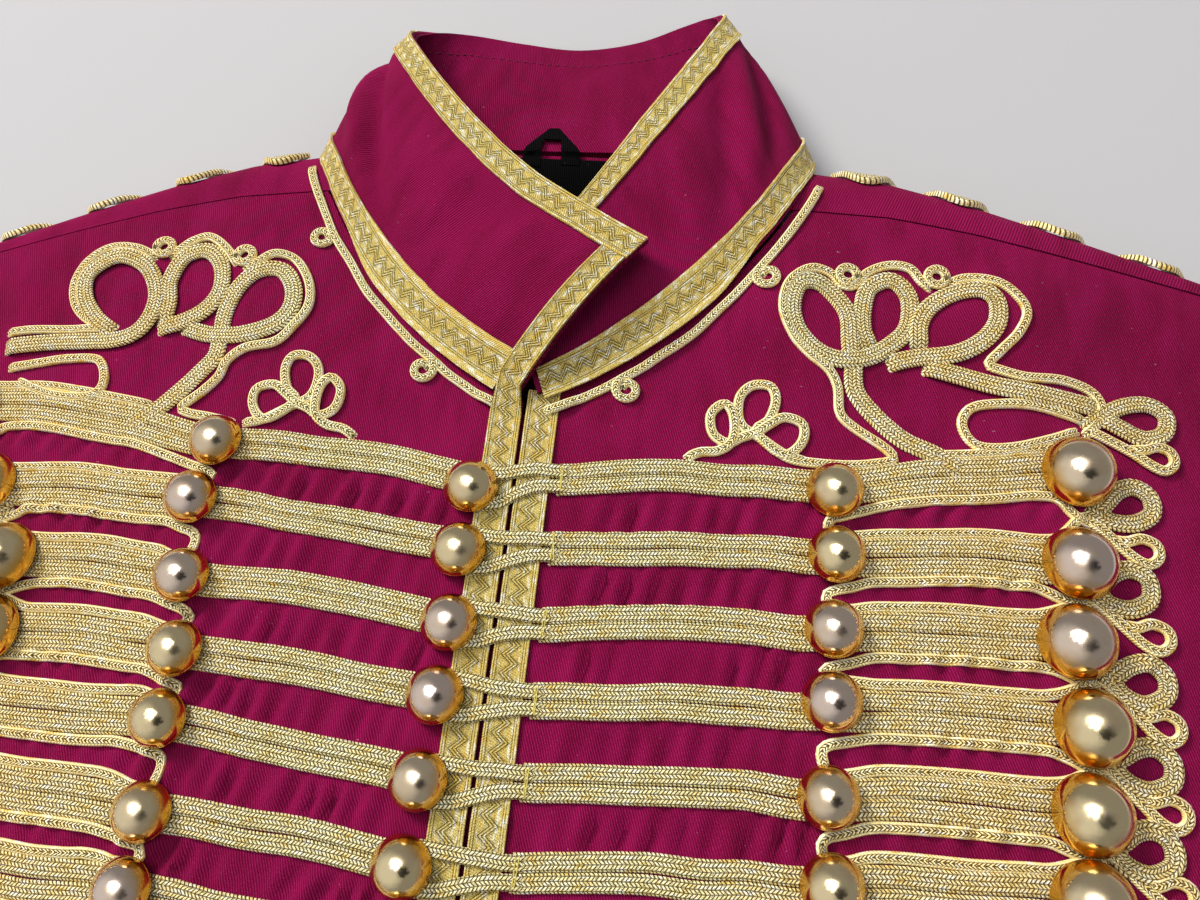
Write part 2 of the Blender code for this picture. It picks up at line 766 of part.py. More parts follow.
def plate(name, shapes, buttons=(), lift=None, thick=BRAID_THICK, height=front_height,
          material_name="gold_braid"):
    """A flat trim that follows the cloth under it, with domed buttons on it in one solid."""
    lift_at = lift or (lambda x, y: TRIM_LIFT)
    everything = list(shapes) + [(circle(x, y, r, BUTTON_SIDES), []) for x, y, r, _ in buttons]
    loops = [loop for outline, holes in everything for loop in [outline] + holes]
    rough_points, rough_faces = triangulate(loops, everything)
    edges = boundary_loops(rough_points, rough_faces)
    base_points, base_faces = triangulate(edges, everything)
    domes = []
    for x, y, r, _ in buttons:
        domes += [circle(x, y, r * share, BUTTON_SIDES) for share, _ in DOME_RINGS]
        domes.append([(x, y)])
    crown_points, crown_faces = triangulate(edges + domes, everything)

    def rise(point):
        for x, y, r, dome_height in buttons:
            distance = math.hypot(point[0] - x, point[1] - y) / r
            if distance < 0.99:
                if distance > 0.9:
                    return dome_height * DOME_RINGS[0][1]
                if distance > 0.3:
                    return dome_height * DOME_RINGS[1][1]
                return dome_height
        return 0.0

    def low(point):
        return Vector((point[0], point[1], height(*point) + lift_at(*point)))

    top = [low(p) + Vector((0.0, 0.0, thick + rise(p))) for p in crown_points]
    bottom = [low(p) for p in base_points]
    work = bmesh.new()
    upper = [work.verts.new(p * METRES) for p in top]
    lower = [work.verts.new(p * METRES) for p in bottom]
    for face in crown_faces:
        work.faces.new([upper[i] for i in face])
    for face in base_faces:
        work.faces.new([lower[i] for i in reversed(face)])
    place_of = {}
    for i, p in enumerate(crown_points):
        place_of[(round(p[0], 2), round(p[1], 2))] = i
    directed = set()
    for face in base_faces:
        for a, b in zip(face, face[1:] + face[:1]):
            directed.add((a, b))
    for a, b in sorted(directed):
        if (b, a) in directed:
            continue
        keys = [(round(base_points[i][0], 2), round(base_points[i][1], 2)) for i in (a, b)]
        if keys[0] not in place_of or keys[1] not in place_of:
            raise RuntimeError(name + ": an edge point of the underside has no match on top")
        work.faces.new([lower[a], lower[b], upper[place_of[keys[1]]], upper[place_of[keys[0]]]])
    bmesh.ops.delete(work, geom=[v for v in work.verts if not v.link_faces], context="VERTS")
    bmesh.ops.triangulate(work, faces=work.faces)
    bmesh.ops.recalc_face_normals(work, faces=work.faces)
    mesh = bpy.data.meshes.new(name)
    work.to_mesh(mesh)
    work.free()
    mesh.materials.append(material(material_name))
    mesh.shade_smooth()
    mesh.set_sharp_from_angle(angle=math.radians(35.0))
    made = bpy.data.objects.new(name, mesh)
    bpy.context.scene.collection.objects.link(made)
    return made


# ---------------------------------------------------------------- frogging

def row_y(number, x):
    """Height of a row's middle line at a distance from the centre."""
    across = abs(x)
    y = FIRST_ROW_Y - ROW_SPACING * (number - 1) + ROW_SLOPE * min(across, INNER_COLUMN_X)
    y += OUTER_ROW_SLOPE * max(0.0, across - INNER_COLUMN_X)
    if number == 1:
        y += FIRST_ROW_RISE * smooth((across - INNER_COLUMN_X) / (OUTER_COLUMN_X - INNER_COLUMN_X))
    return y


def braid_lift(x, y):
    """Braid steps up where it crosses the front-edge lace."""
    clear = smooth((abs(x) - FRONT_GAP / 2.0 - LACE_WIDTH - 2.0) / 7.0)
    return lerp(LACE_CROSSING_LIFT, TRIM_LIFT, clear)


def loop_row(number):
    for row in LOOPS:
        if row[0] == number:
            return row[1:]
    return LOOPS[-1][1:]


def band(number, side, start, end, thickness, steps):
    points = [lerp(start, end, i / steps) for i in range(steps + 1)]
    return strip([(side * x, row_y(number, x)) for x in points], thickness)


def make_frog(number, side, word):
    inner_x = INNER_COLUMN_X - COLUMN_TAPER * (number - 1)
    outer_x = OUTER_COLUMN_X - COLUMN_TAPER * (number - 1)
    inner = (side * inner_x, row_y(number, inner_x))
    outer = (side * outer_x, row_y(number, outer_x))
    shapes = []
    buttons = [
        (inner[0], inner[1], SMALL_BUTTON_R, SMALL_BUTTON_HEIGHT),
        (outer[0], outer[1], LARGE_BUTTON_R, LARGE_BUTTON_HEIGHT),
    ]
    if side < 0:
        reach = abs(CENTRE_BUTTON_X)
        centre = (CENTRE_BUTTON_X, row_y(number, reach))
        buttons.append((centre[0], centre[1], SMALL_BUTTON_R, SMALL_BUTTON_HEIGHT))
        shapes.append(band(number, side, reach, inner_x, INNER_BAND_HEIGHT, 3))
    else:
        shapes.append(band(number, side, LOOP_TACK_X, inner_x, INNER_BAND_HEIGHT, 3))
        centre_y = row_y(number, CENTRE_BUTTON_X)
        strand = 0.5 * INNER_BAND_HEIGHT - 0.4
        for up in (1.0, -1.0):
            route = [
                (LOOP_TACK_X + 1.0, row_y(number, LOOP_TACK_X) + up * 0.25 * INNER_BAND_HEIGHT),
                (6.0, centre_y + up * 3.6),
                (-1.0, centre_y + up * 5.2),
                (-6.3, centre_y + up * 7.0),
            ]
            shapes.append(strip(route, strand))
    shapes.append(band(number, side, inner_x, outer_x, OUTER_BAND_HEIGHT, 2))
    big_x, big_y, big_length, big_width, small_x, small_y = loop_row(number)
    lean = math.atan2(big_y, big_x)
    centre = (outer[0] + side * big_x, outer[1] + big_y)
    angle = lean if side > 0 else math.pi - lean
    shapes.append(ring(centre[0], centre[1], big_length, big_width, angle, LOOP_BRAID))
    reach = math.hypot(big_x, big_y) - 0.5 * big_length + LOOP_BRAID
    foot = (outer[0] + math.cos(angle) * reach, outer[1] + math.sin(angle) * reach)
    shapes.append(strip([outer, foot], LOOP_BRAID + 3.0))
    small = (outer[0] + side * small_x, outer[1] + small_y)
    small_outline = ellipse(small[0], small[1], SMALL_LOOP_LENGTH, SMALL_LOOP_WIDTH, 0.0, 8)
    shapes.append((small_outline, []))
    if small_x - 0.5 * SMALL_LOOP_LENGTH > LARGE_BUTTON_R - 1.0:
        joint = (small[0] - side * (0.5 * SMALL_LOOP_LENGTH - 1.5), small[1])
        shapes.append(strip([outer, joint], SMALL_LOOP_BRAID * 2.0))
    return plate("frog_%s_%02d" % (word, number), shapes, buttons, lift=braid_lift)


def fitted(side, x, y):
    """A point of the left side's ornament, fitted to either side."""
    stretch, shift_x, shift_y = ORNAMENT_FIT[side]
    return side * (ORNAMENT_FOOT_X + (x - ORNAMENT_FOOT_X) * stretch + shift_x), y + shift_y


def fitted_ring(side, x, y, length, width, degrees, braid, sides=10):
    angle = math.radians(degrees if side > 0 else 180.0 - degrees)
    place = fitted(side, x, y)
    stretch = ORNAMENT_FIT[side][0]
    return ring(place[0], place[1], length * stretch, width * stretch, angle, braid, sides)


def make_shoulder_knot(side, word):
    """The large three-looped knot above the first row, with its stem, band and hairpin."""
    shapes = [fitted_ring(side, *row) for row in KNOT_RINGS]
    shapes += [fitted_ring(side, x, y, EYELET, EYELET, 0.0, EYELET_BRAID, 8) for x, y in EYELETS]
    for route in (KNOT_STEM, KNOT_BAND):
        shapes.append(strip([fitted(side, x, y) for x, y in route], KNOT_BRAID))
    shapes.append(fitted_ring(side, *HAIRPIN))
    return plate("shoulder_knot_" + word, shapes)


def make_small_knot(side, word):
    """The small three-looped knot of thin braid that stands on the first row."""
    shift = SMALL_KNOT_SHIFT[side]
    shapes = []
    for x, y, length, width, degrees in SMALL_KNOT_RINGS:
        angle = math.radians(degrees if side > 0 else 180.0 - degrees)
        shapes.append(ring(side * (x + shift), y, length, width, angle, THIN_BRAID, 8))
    for route in SMALL_KNOT_FEET:
        shapes.append(strip([(side * (x + shift), y) for x, y in route], THIN_BRAID))
    return plate("small_knot_" + word, shapes)


def neck_offset(x, distance):
    """A point outside the front neckline, square to it."""
    step = 0.5
    along = Vector((2.0 * step, neck_y(x + step) - neck_y(x - step))).normalized()
    return x + along.y * distance, neck_y(x) - along.x * distance


def make_neck_braid(side, word):
    """Thin braid that follows the neckline, with two curls."""
    xs = [NECK_BRAID_START + (HPS_X - 4.0 - NECK_BRAID_START) * i / 8.0 for i in range(9)]
    points = [neck_offset(x, NECK_BRAID_OFFSET) for x in xs]
    points = [(side * x, y) for x, y in points]
    shapes = [strip(points, THIN_BRAID)]
    for x in NECK_CURL_XS:
        curl = neck_offset(x, NECK_BRAID_OFFSET + 0.5 * (EYELET + THIN_BRAID) - 1.0)
        shapes.append(ring(side * curl[0], curl[1], EYELET, EYELET, 0.0, EYELET_BRAID, 8))
    return plate("neck_braid_" + word, shapes)


def make_front_lace_left():
    """Lace along the left front's edge, up to the neckline."""
    near = FRONT_GAP / 2.0 + 0.3
    far = near + LACE_WIDTH
    ys = [lerp(HEM_Y + 1.0, -70.0, i / 12.0) for i in range(13)]
    outline = [(near, y) for y in ys] + [(near, NECK_FRONT_Y - 1.2), (far, neck_y(far) - 1.2)]
    outline += [(far, y) for y in reversed(ys)]
    return plate("front_edge_lace_left", [(outline, [])], thick=LACE_THICK,
                 material_name="gold_lace")


def make_front_lace_right():
    """Lace along the right front's edge and on up the collar's front edge to its corner."""
    near = FRONT_GAP / 2.0 + 0.3
    far = near + LACE_WIDTH
    lefts = []
    rights = []
    normals = []
    for i in range(17):
        y = lerp(HEM_Y + 1.0, NECK_FRONT_Y - 6.0, i / 16.0)
        lefts.append(Vector((-far, y, front_height(far, y))))
        rights.append(Vector((-near, y, front_height(near, y))))
        normals.append(Vector((0.0, 0.0, 1.0)))
    for rise in (0.06, 0.17, 0.5, 0.81):
        lefts.append(collar_point(COLLAR_LACE_STATION, rise))
        rights.append(collar_point(0.01, rise))
        normals.append(collar_normal(0.2, rise))
    return ribbon("front_edge_lace_right", lefts, rights, normals, TRIM_LIFT, LACE_THICK,
                  "gold_lace")


def grid_point(grid, row, x):
    """On the faceted shoulder: a fractional row, at a distance from the centre."""
    column = 0
    while column < len(SHOULDER_XS) - 2 and x > SHOULDER_XS[column + 1]:
        column += 1
    across = (x - SHOULDER_XS[column]) / (SHOULDER_XS[column + 1] - SHOULDER_XS[column])
    index = min(len(grid) - 2, int(row))
    near = grid[index][column].lerp(grid[index][column + 1], across)
    far = grid[index + 1][column].lerp(grid[index + 1][column + 1], across)
    return near.lerp(far, row - index)


def shoulder_braid_place(i):
    """Distance from the centre and fractional row of the shoulder braid's step i."""
    x = lerp(SHOULDER_BRAID_START, SHOULDER_BRAID_END, i / SHOULDER_BRAID_STEPS)
    turn = 2.0 * math.pi * (x - SHOULDER_BRAID_CREST) / SHOULDER_BRAID_PITCH
    return x, SHOULDER_BRAID_ROW + 0.5 * SHOULDER_BRAID_REACH * math.cos(turn)


def make_shoulder_braid(side, word):
    """Thin braid that waves along the back of the shoulder and peeps over its fold."""
    grid = shoulder_roll(side)
    lefts = []
    rights = []
    normals = []
    for i in range(SHOULDER_BRAID_STEPS + 1):
        x, row = shoulder_braid_place(i)
        centre = grid_point(grid, row, x)
        ahead = grid_point(grid, row, x + 1.0) - grid_point(grid, row, x - 1.0)
        up = grid_point(grid, row + 0.2, x) - grid_point(grid, row - 0.2, x)
        normal = up.cross(ahead).normalized() * side
        x_after, row_after = shoulder_braid_place(i + 0.4)
        x_before, row_before = shoulder_braid_place(i - 0.4)
        run = grid_point(grid, row_after, x_after) - grid_point(grid, row_before, x_before)
        width = run.cross(normal).normalized() * (side * 0.5 * THIN_BRAID)
        lefts.append(centre - width)
        rights.append(centre + width)
        normals.append(normal)
    return ribbon("shoulder_braid_" + word, lefts, rights, normals, TRIM_LIFT + 0.3, BRAID_THICK,
                  "gold_braid")


def inside_height(x, y):
    """The inner side of the garment at the back of the neck: the back, then the collar facing."""
    if y <= NECK_BACK_Y:
        rise = (y - NECK_RISE_START_Y) / (NECK_BACK_Y - NECK_RISE_START_Y)
        return NECK_BACK_HEIGHT * smooth(rise) + WALL
    foot = NECK_BACK_HEIGHT + COLLAR_WALL + SEAM_GAP + FACING_WALL + 0.3
    return foot - COLLAR_BACK_SLOPE * (y - NECK_BACK_Y - 1.0)


def make_label():
    low, high = LABEL_LOW_Y, NECK_BACK_Y - 0.6
    ys = [lerp(low, high, i / 5.0) for i in range(6)]
    outline = [(LABEL_LEFT, y) for y in ys] + [(LABEL_RIGHT, y) for y in reversed(ys)]
    plate("neck_label", [(outline, [])], thick=LABEL_THICK, height=inside_height,
          material_name="black_tape")


def make_hanger_loop():
    """A loop of tape folded to a point, with a small window."""
    outline = [(HANGER_LEFT, HANGER_LOW), (HANGER_RIGHT, HANGER_LOW), (HANGER_RIGHT, HANGER_LOW + 2.0),
               (HANGER_MIDDLE + 2.0, HANGER_HIGH), (HANGER_MIDDLE - 2.0, HANGER_HIGH),
               (HANGER_LEFT, HANGER_LOW + 3.0)]
    window = [(HANGER_MIDDLE - 3.0, HANGER_LOW + 1.5), (HANGER_MIDDLE + 3.0, HANGER_LOW + 1.5),
              (HANGER_MIDDLE + 3.0, HANGER_LOW + 8.5), (HANGER_MIDDLE - 3.0, HANGER_LOW + 9.0)]
    plate("hanger_loop", [(outline, [window])], thick=LABEL_THICK, height=inside_height,
          material_name="black_tape")


def main():
    for old in list(bpy.data.objects):
        bpy.data.objects.remove(old)
    for side, word in ((1, "left"), (-1, "right")):
        make_front("front_" + word, side)
        make_sleeve("top_sleeve_" + word, side, True)
        make_sleeve("under_sleeve_" + word, side, False)
        for number in range(1, ROW_COUNT + 1):
            make_frog(number, side, word)
        make_shoulder_knot(side, word)
        make_small_knot(side, word)
        make_neck_braid(side, word)
        make_shoulder_braid(side, word)
    make_front_lace_left()
    make_front_lace_right()
    make_label()
    make_hanger_loop()
    make_back()
    make_underlap()
    stand = COLLAR_WALL
    collar_wall("collar_stand", 0.0, stand)
    collar_wall("collar_facing", stand + SEAM_GAP, stand + SEAM_GAP + FACING_WALL)
    last = len(COLLAR) - 1
    collar_ribbon("collar_top_lace", 0.0, last, TOP_LACE_LOW, 0.995)
    collar_ribbon("neck_seam_lace", 0.5, last - 0.4, NECK_LACE_LOW, NECK_LACE_HIGH)


main()
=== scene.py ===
"""Dresses the military drummer jacket: cloth, collar, lace, braid, gilt buttons and stitching.

Lengths are in millimetres and become metres when a mesh is made. Left and right are the wearer's.
"""
import math

import bpy
import numpy as np
from mathutils import Matrix, Vector, noise


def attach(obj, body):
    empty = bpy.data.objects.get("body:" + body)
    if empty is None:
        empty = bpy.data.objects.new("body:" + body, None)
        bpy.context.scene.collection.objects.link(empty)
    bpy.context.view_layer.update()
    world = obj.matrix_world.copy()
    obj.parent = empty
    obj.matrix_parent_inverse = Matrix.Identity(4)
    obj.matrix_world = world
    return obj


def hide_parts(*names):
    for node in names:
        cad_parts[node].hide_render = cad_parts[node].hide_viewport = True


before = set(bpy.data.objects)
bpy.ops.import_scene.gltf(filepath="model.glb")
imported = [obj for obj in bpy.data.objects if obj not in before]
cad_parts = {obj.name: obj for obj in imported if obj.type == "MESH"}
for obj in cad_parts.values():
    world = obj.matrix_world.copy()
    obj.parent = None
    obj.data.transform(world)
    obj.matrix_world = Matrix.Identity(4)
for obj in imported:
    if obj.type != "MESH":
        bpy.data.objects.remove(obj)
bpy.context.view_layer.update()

METRES = 0.001

# Cloth and trim thicknesses
WALL = 1.6
COLLAR_WALL = 1.2
FACING_WALL = 1.0
UNDERLAP_WALL = 1.2
LACE_THICK = 1.1
LABEL_THICK = 0.6
SEAM_GAP = 0.3
SHOULDER_SEAM_GAP = 0.6
ARMHOLE_GAP = 0.5
TIP_GAP = 0.9
FOLD_GAP = 1.8

# Body
FRONT_GAP = 2.6
HEM_Y = -400.0
CHEST_HEIGHT = 28.0
HEM_HEIGHT = 16.0
SIDE_ROUNDING = 32.0
CROWN_HALF_WIDTH = 120.0
CROWN_FALL = 6.0
UNDERARM_X = 262.0
UNDERARM_Y = -192.0
WAIST_X = 244.0
WAIST_Y = -320.0
HEM_X = 250.0

# Neckline: a pointed oval, and the height and place of its back
NECK_HALF_WIDTH = 93.0
NECK_FRONT_Y = -7.0
NECK_SIDE_Y = 91.0
NECK_POWER = 1.37
NECK_BACK_Y = 104.0
NECK_BACK_HEIGHT = 10.0
NECK_RISE_START_Y = 78.0
BACK_NECK_X = 84.0

# Shoulder: distance from the centre, the seam's place and the fold's place
SHOULDER = (
    # x, seam_y, fold_y
    (88.0, 74.0, 98.0),
    (120.0, 71.0, 92.5),
    (150.0, 64.5, 82.5),
    (180.0, 56.5, 71.0),
    (210.0, 48.5, 59.5),
    (236.0, 42.0, 50.0),
)
# The left shoulder tip lies this much higher, the right one this much lower
TIP_SKEW = 5.9

# Armhole, from the shoulder tip to the underarm
ARMHOLE = (
    # x, y
    (236.0, 42.0),
    (229.0, 0.0),
    (226.0, -60.0),
    (230.0, -106.0),
    (243.0, -151.0),
    (UNDERARM_X, UNDERARM_Y),
)

# Sleeve
SLEEVE_LENGTH = 610.0
SLEEVE_ANGLE = math.radians(-56.0)
CUFF_WIDTH = 132.0
SLEEVE_HEIGHT = 13.0
SLEEVE_FOLD_ROUNDING = 14.0
SLEEVE_SEAM_ROUNDING = 24.0
# Share of a sleeve's width that starts on the shoulder tip and not on the armhole
SLEEVE_TOP_SHARE = 0.035

# Collar stations, from the right front edge round the back to the left front edge.
# Each has the seam point, the top-edge point and how far the cloth bows out between them.
COLLAR = (
    # seam_x, seam_y, seam_z, top_x, top_y, top_z, bow
    (-3.0, -6.5, 31.6, 37.0, 48.5, 43.0, 7.0),
    (-24.0, 5.6, 31.2, 16.0, 60.0, 43.5, 7.0),
    (-43.0, 20.0, 30.8, -7.0, 75.0, 43.5, 5.0),
    (-62.0, 39.0, 30.4, -26.0, 93.0, 42.5, 4.0),
    (-77.0, 58.5, 29.4, -45.0, 115.0, 39.5, 3.0),
    (-88.5, 78.5, 26.5, -58.0, 133.0, 35.5, 3.0),
    (-95.5, 92.0, 19.5, -66.0, 148.0, 28.0, 3.0),
    (-92.0, 101.0, 12.5, -63.0, 158.5, 17.5, 2.0),
    (-74.0, 104.5, 10.5, -48.0, 163.5, 9.0, 1.0),
    (-38.0, 105.0, 10.3, -26.0, 163.0, 4.5, 0.0),
    (0.0, 105.0, 10.3, -2.0, 161.5, 3.2, 0.0),
    (38.0, 106.0, 10.3, 22.0, 165.0, 4.5, 0.0),
    (72.0, 106.5, 10.5, 42.0, 170.0, 10.0, 1.0),
    (90.0, 104.0, 12.5, 54.0, 167.5, 20.0, 2.0),
    (94.5, 95.0, 19.5, 56.0, 157.0, 30.0, 3.0),
    (88.5, 79.0, 26.5, 50.0, 141.0, 34.5, 3.0),
    (77.0, 58.5, 29.4, 40.0, 122.0, 35.5, 3.0),
    (62.0, 39.0, 30.4, 28.5, 102.0, 35.5, 3.0),
    (43.0, 20.0, 30.8, 16.5, 81.0, 34.5, 2.5),
    (22.0, 4.4, 30.8, 2.0, 58.0, 33.0, 1.5),
    (3.5, -5.6, 30.8, -14.0, 38.0, 32.0, 0.3),
)
LAST_STATION = len(COLLAR) - 1
LACE_WIDTH = 11.0
NECK_LACE_LOW = 0.015
NECK_LACE_HIGH = 0.17
TOP_LACE_LOW = 0.835

# Frogging rows
ROW_COUNT = 15
ROW_SPACING = 23.7
FIRST_ROW_Y = -38.0
ROW_SLOPE = 0.092
OUTER_ROW_SLOPE = 0.032
FIRST_ROW_RISE = 5.0
COLUMN_TAPER = 0.6
INNER_COLUMN_X = 105.0
OUTER_COLUMN_X = 176.0
CENTRE_BUTTON_X = -16.8
LOOP_TACK_X = 15.0
SMALL_BUTTON_R = 9.0
SMALL_BUTTON_HEIGHT = 9.0
LARGE_BUTTON_R = 11.4
LARGE_BUTTON_HEIGHT = 11.0

# Widths and thicknesses of the braid and the cord sewn on
STRAP_THICK = 1.25
INNER_STRAP_WIDTH = 5.5
OUTER_STRAP_WIDTH = 5.95
SPLIT_STRAP_WIDTH = 4.7
LOOP_STRAP_WIDTH = 5.7
LOOP_STRAP_THICK = 1.3
KNOT_STRAP_WIDTH = 6.3
KNOT_STRAP_THICK = 1.35
CORD_WIDTH = 3.4
CORD_THICK = 1.35
KNOT_CORD_THICK = 1.45
NECK_CORD_THICK = 1.4
# How far the thin braid lies from a row's middle line
CORD_AWAY = 7.7

# Puckers of the fronts between the rows: their pitch and slant, and where they soften and end
PUCKER_PITCH = 8.6
PUCKER_SLANT = 0.4
PUCKER_SOFT_X = 100.0
PUCKER_END_X = 205.0

# Label and hanger loop inside the back of the neck
COLLAR_BACK_SLOPE = 0.127
LABEL_LEFT = -19.5
LABEL_RIGHT = 17.5
LABEL_LOW_Y = 74.0
LABEL_TOP_Y = 102.0


# ---------------------------------------------------------------- numbers and curves

def smooth(value):
    """Ease from 0 to 1 as value goes from 0 to 1."""
    value = min(1.0, max(0.0, value))
    return value * value * (3.0 - 2.0 * value)


def lerp(low, high, share):
    return low + (high - low) * share


def wobble(x, y, z):
    """Smooth noise from about -1 to 1 at a place."""
    return noise.noise(Vector((x, y, z)))


def through(rows, place):
    """A smooth curve through the rows of a table; place runs from 0 to the last row's number."""
    last = len(rows) - 1
    index = min(last - 1, max(0, int(math.floor(place))))
    share = place - index
    before = rows[max(0, index - 1)]
    here = rows[index]
    there = rows[index + 1]
    after = rows[min(last, index + 2)]
    values = []
    for b, h, t, a in zip(before, here, there, after):
        slope_here = 0.5 * (t - b)
        slope_there = 0.5 * (a - h)
        values.append(
            (2 * share**3 - 3 * share**2 + 1) * h
            + (share**3 - 2 * share**2 + share) * slope_here
            + (3 * share**2 - 2 * share**3) * t
            + (share**3 - share**2) * slope_there
        )
    return values


def table_at(rows, key):
    """Interpolate a table whose first column rises."""
    for low, high in zip(rows, rows[1:]):
        if key <= high[0]:
            share = (key - low[0]) / (high[0] - low[0])
            return [lerp(a, b, max(0.0, share)) for a, b in zip(low, high)]
    return list(rows[-1])


# ---------------------------------------------------------------- the garment's form

def side_x(y):
    """Half-width of the body at the side seam."""
    if y > WAIST_Y:
        return lerp(WAIST_X, UNDERARM_X, smooth((y - WAIST_Y) / (UNDERARM_Y - WAIST_Y)))
    return lerp(HEM_X, WAIST_X, smooth((y - HEM_Y) / (WAIST_Y - HEM_Y)))


def rounded(distance, rounding):
    """0 at an edge, 1 from the rounding inwards, along a quarter of an ellipse."""
    share = min(1.0, max(0.0, distance / rounding))
    return math.sqrt(1.0 - (1.0 - share) ** 2)


# Inner side of what lies on the back
FOLD_FLOOR = WALL + SEAM_GAP


def side_distance(x, y):
    """How far in plan a point of a front is from the side seam or, higher up, from the underarm."""
    if y < UNDERARM_Y:
        return side_x(y) - abs(x)
    return math.hypot(UNDERARM_X - abs(x), y - UNDERARM_Y)


def front_height(x, y):
    """Height of the fronts' outer surface above the surface that the jacket lies on."""
    height = lerp(CHEST_HEIGHT, HEM_HEIGHT, smooth((-200.0 - y) / 200.0))
    height -= CROWN_FALL * (max(0.0, abs(x) - CROWN_HALF_WIDTH) / 100.0) ** 2
    height -= 2.0 * (max(0.0, y - 20.0) / 55.0) ** 2
    return FOLD_FLOOR + (height - FOLD_FLOOR) * rounded(side_distance(x, y), SIDE_ROUNDING)


def neck_y(x):
    """The front neckline."""
    share = min(1.0, abs(x) / NECK_HALF_WIDTH)
    drop = (1.0 - share**NECK_POWER) ** (1.0 / NECK_POWER)
    return NECK_SIDE_Y - (NECK_SIDE_Y - NECK_FRONT_Y) * drop


def skew(side, x, y):
    """How much a point out to the shoulder lies higher on the left and lower on the right."""
    out = min(1.0, max(0.0, (x - HPS_X) / (ARMHOLE[0][0] - HPS_X)))
    return side * TIP_SKEW * out * smooth((y + 60.0) / (ARMHOLE[0][1] + 60.0))


def collar_line(station, first):
    """The collar table's three columns from the first one on, read smoothly along the collar."""
    values = through(COLLAR, station)
    return Vector(values[first:first + 3])


def collar_flat(station, rise):
    """The collar's outer surface without its creases: rise 0 at the seam and 1 at the top edge."""
    station = min(LAST_STATION, max(0.0, station))
    seam = collar_line(station, 0)
    top = collar_line(station, 3)
    behind = max(0.0, station - 0.5)
    ahead = min(LAST_STATION, station + 0.5)
    along = collar_line(ahead, 0) + collar_line(ahead, 3)
    along -= collar_line(behind, 0) + collar_line(behind, 3)
    outward = (top - seam).cross(along).normalized()
    bow = through(COLLAR, station)[6]
    return seam.lerp(top, rise) + outward * (bow * 4.0 * rise * (1.0 - rise))


def collar_normal(station, rise):
    """Outward direction of the collar at a place on it."""
    ahead = collar_flat(min(LAST_STATION, station + 0.25), rise)
    behind = collar_flat(max(0.0, station - 0.25), rise)
    upper = collar_flat(station, min(1.0, rise + 0.05))
    lower = collar_flat(station, max(0.0, rise - 0.05))
    return (upper - lower).cross(ahead - behind).normalized()


def hump(value, middle, half_width):
    """A soft ridge: 1 at its middle and 0 from half_width away."""
    return smooth(1.0 - abs(value - middle) / half_width)


# Soft creases of the collar
CREASES = (
    # station, slant, half_width, depth
    (2.2, 1.6, 0.5, -1.2),
    (3.4, 1.9, 0.7, 1.2),
    (4.9, -5.0, 0.75, -5.0),
    (5.9, -4.6, 0.7, 2.6),
    (8.2, 0.4, 0.3, 1.0),
    (8.8, 0.2, 0.25, -1.1),
    (9.7, -0.1, 0.22, 0.8),
    (10.6, 0.2, 0.25, -0.9),
    (11.6, -0.3, 0.25, 1.0),
    (14.4, 2.2, 0.5, -3.4),
    (15.1, 2.0, 0.45, 2.4),
    (15.8, 1.8, 0.4, -2.8),
    (16.6, 1.4, 0.5, 1.6),
    (17.6, -1.2, 0.6, -1.0),
)


def collar_point(station, rise):
    """The collar's outer surface with its soft upright creases, which fade towards both edges."""
    point = collar_flat(station, rise)
    free = smooth((rise - 0.14) / 0.25) * smooth((0.86 - rise) / 0.2)
    if free <= 0.0:
        return point
    shift = 0.0
    for place, slant, half_width, depth in CREASES:
        shift += depth * hump(station + slant * (rise - 0.5), place, half_width)
    shift += 0.8 * wobble(station * 1.7, rise * 2.0, 4.0)
    return point + collar_normal(station, rise) * (shift * free)


# ---------------------------------------------------------------- meshes

class Piece:
    """Collects points, faces and cloth coordinates, and becomes one object."""

    def __init__(self, name):
        self.name = name
        self.points = []
        self.faces = []
        self.coords = []

    def add(self, points, faces, coords):
        base = len(self.points)
        self.points += points
        self.faces += [tuple(base + i for i in face) for face in faces]
        self.coords += coords

    def make(self, surface, nodes=(), sharp=50.0):
        mesh = bpy.data.meshes.new(self.name)
        mesh.from_pydata([tuple(p * METRES) for p in self.points], [], self.faces)
        layer = mesh.uv_layers.new(name="cloth")
        corner = np.empty(len(mesh.loops), dtype=np.int32)
        mesh.loops.foreach_get("vertex_index", corner)
        coords = np.array(self.coords, dtype=np.float32)
        layer.data.foreach_set("uv", coords[corner].ravel())
        mesh.materials.append(surface)
        mesh.shade_smooth()
        mesh.set_sharp_from_angle(angle=math.radians(sharp))
        made = bpy.data.objects.new(self.name, mesh)
        bpy.context.scene.collection.objects.link(made)
        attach(made, "root")
        if nodes:
            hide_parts(*nodes)
        return made


def grid_faces(rows, columns, turned=False, skip=None):
    faces = []
    for row in range(rows - 1):
        for column in range(columns - 1):
            if skip and skip(row, column):
                continue
            a = row * columns + column
            face = (a, a + 1, a + columns + 1, a + columns)
            faces.append(face[::-1] if turned else face)
    return faces


def sheet_normals(points, faces):
    normals = [Vector((0.0, 0.0, 0.0)) for _ in points]
    for face in faces:
        across = points[face[2]] - points[face[0]]
        down = points[face[3]] - points[face[1]]
        turn = across.cross(down)
        for index in face:
            normals[index] += turn
    return [n.normalized() if n.length > 0.0 else Vector((0.0, 0.0, 1.0)) for n in normals]


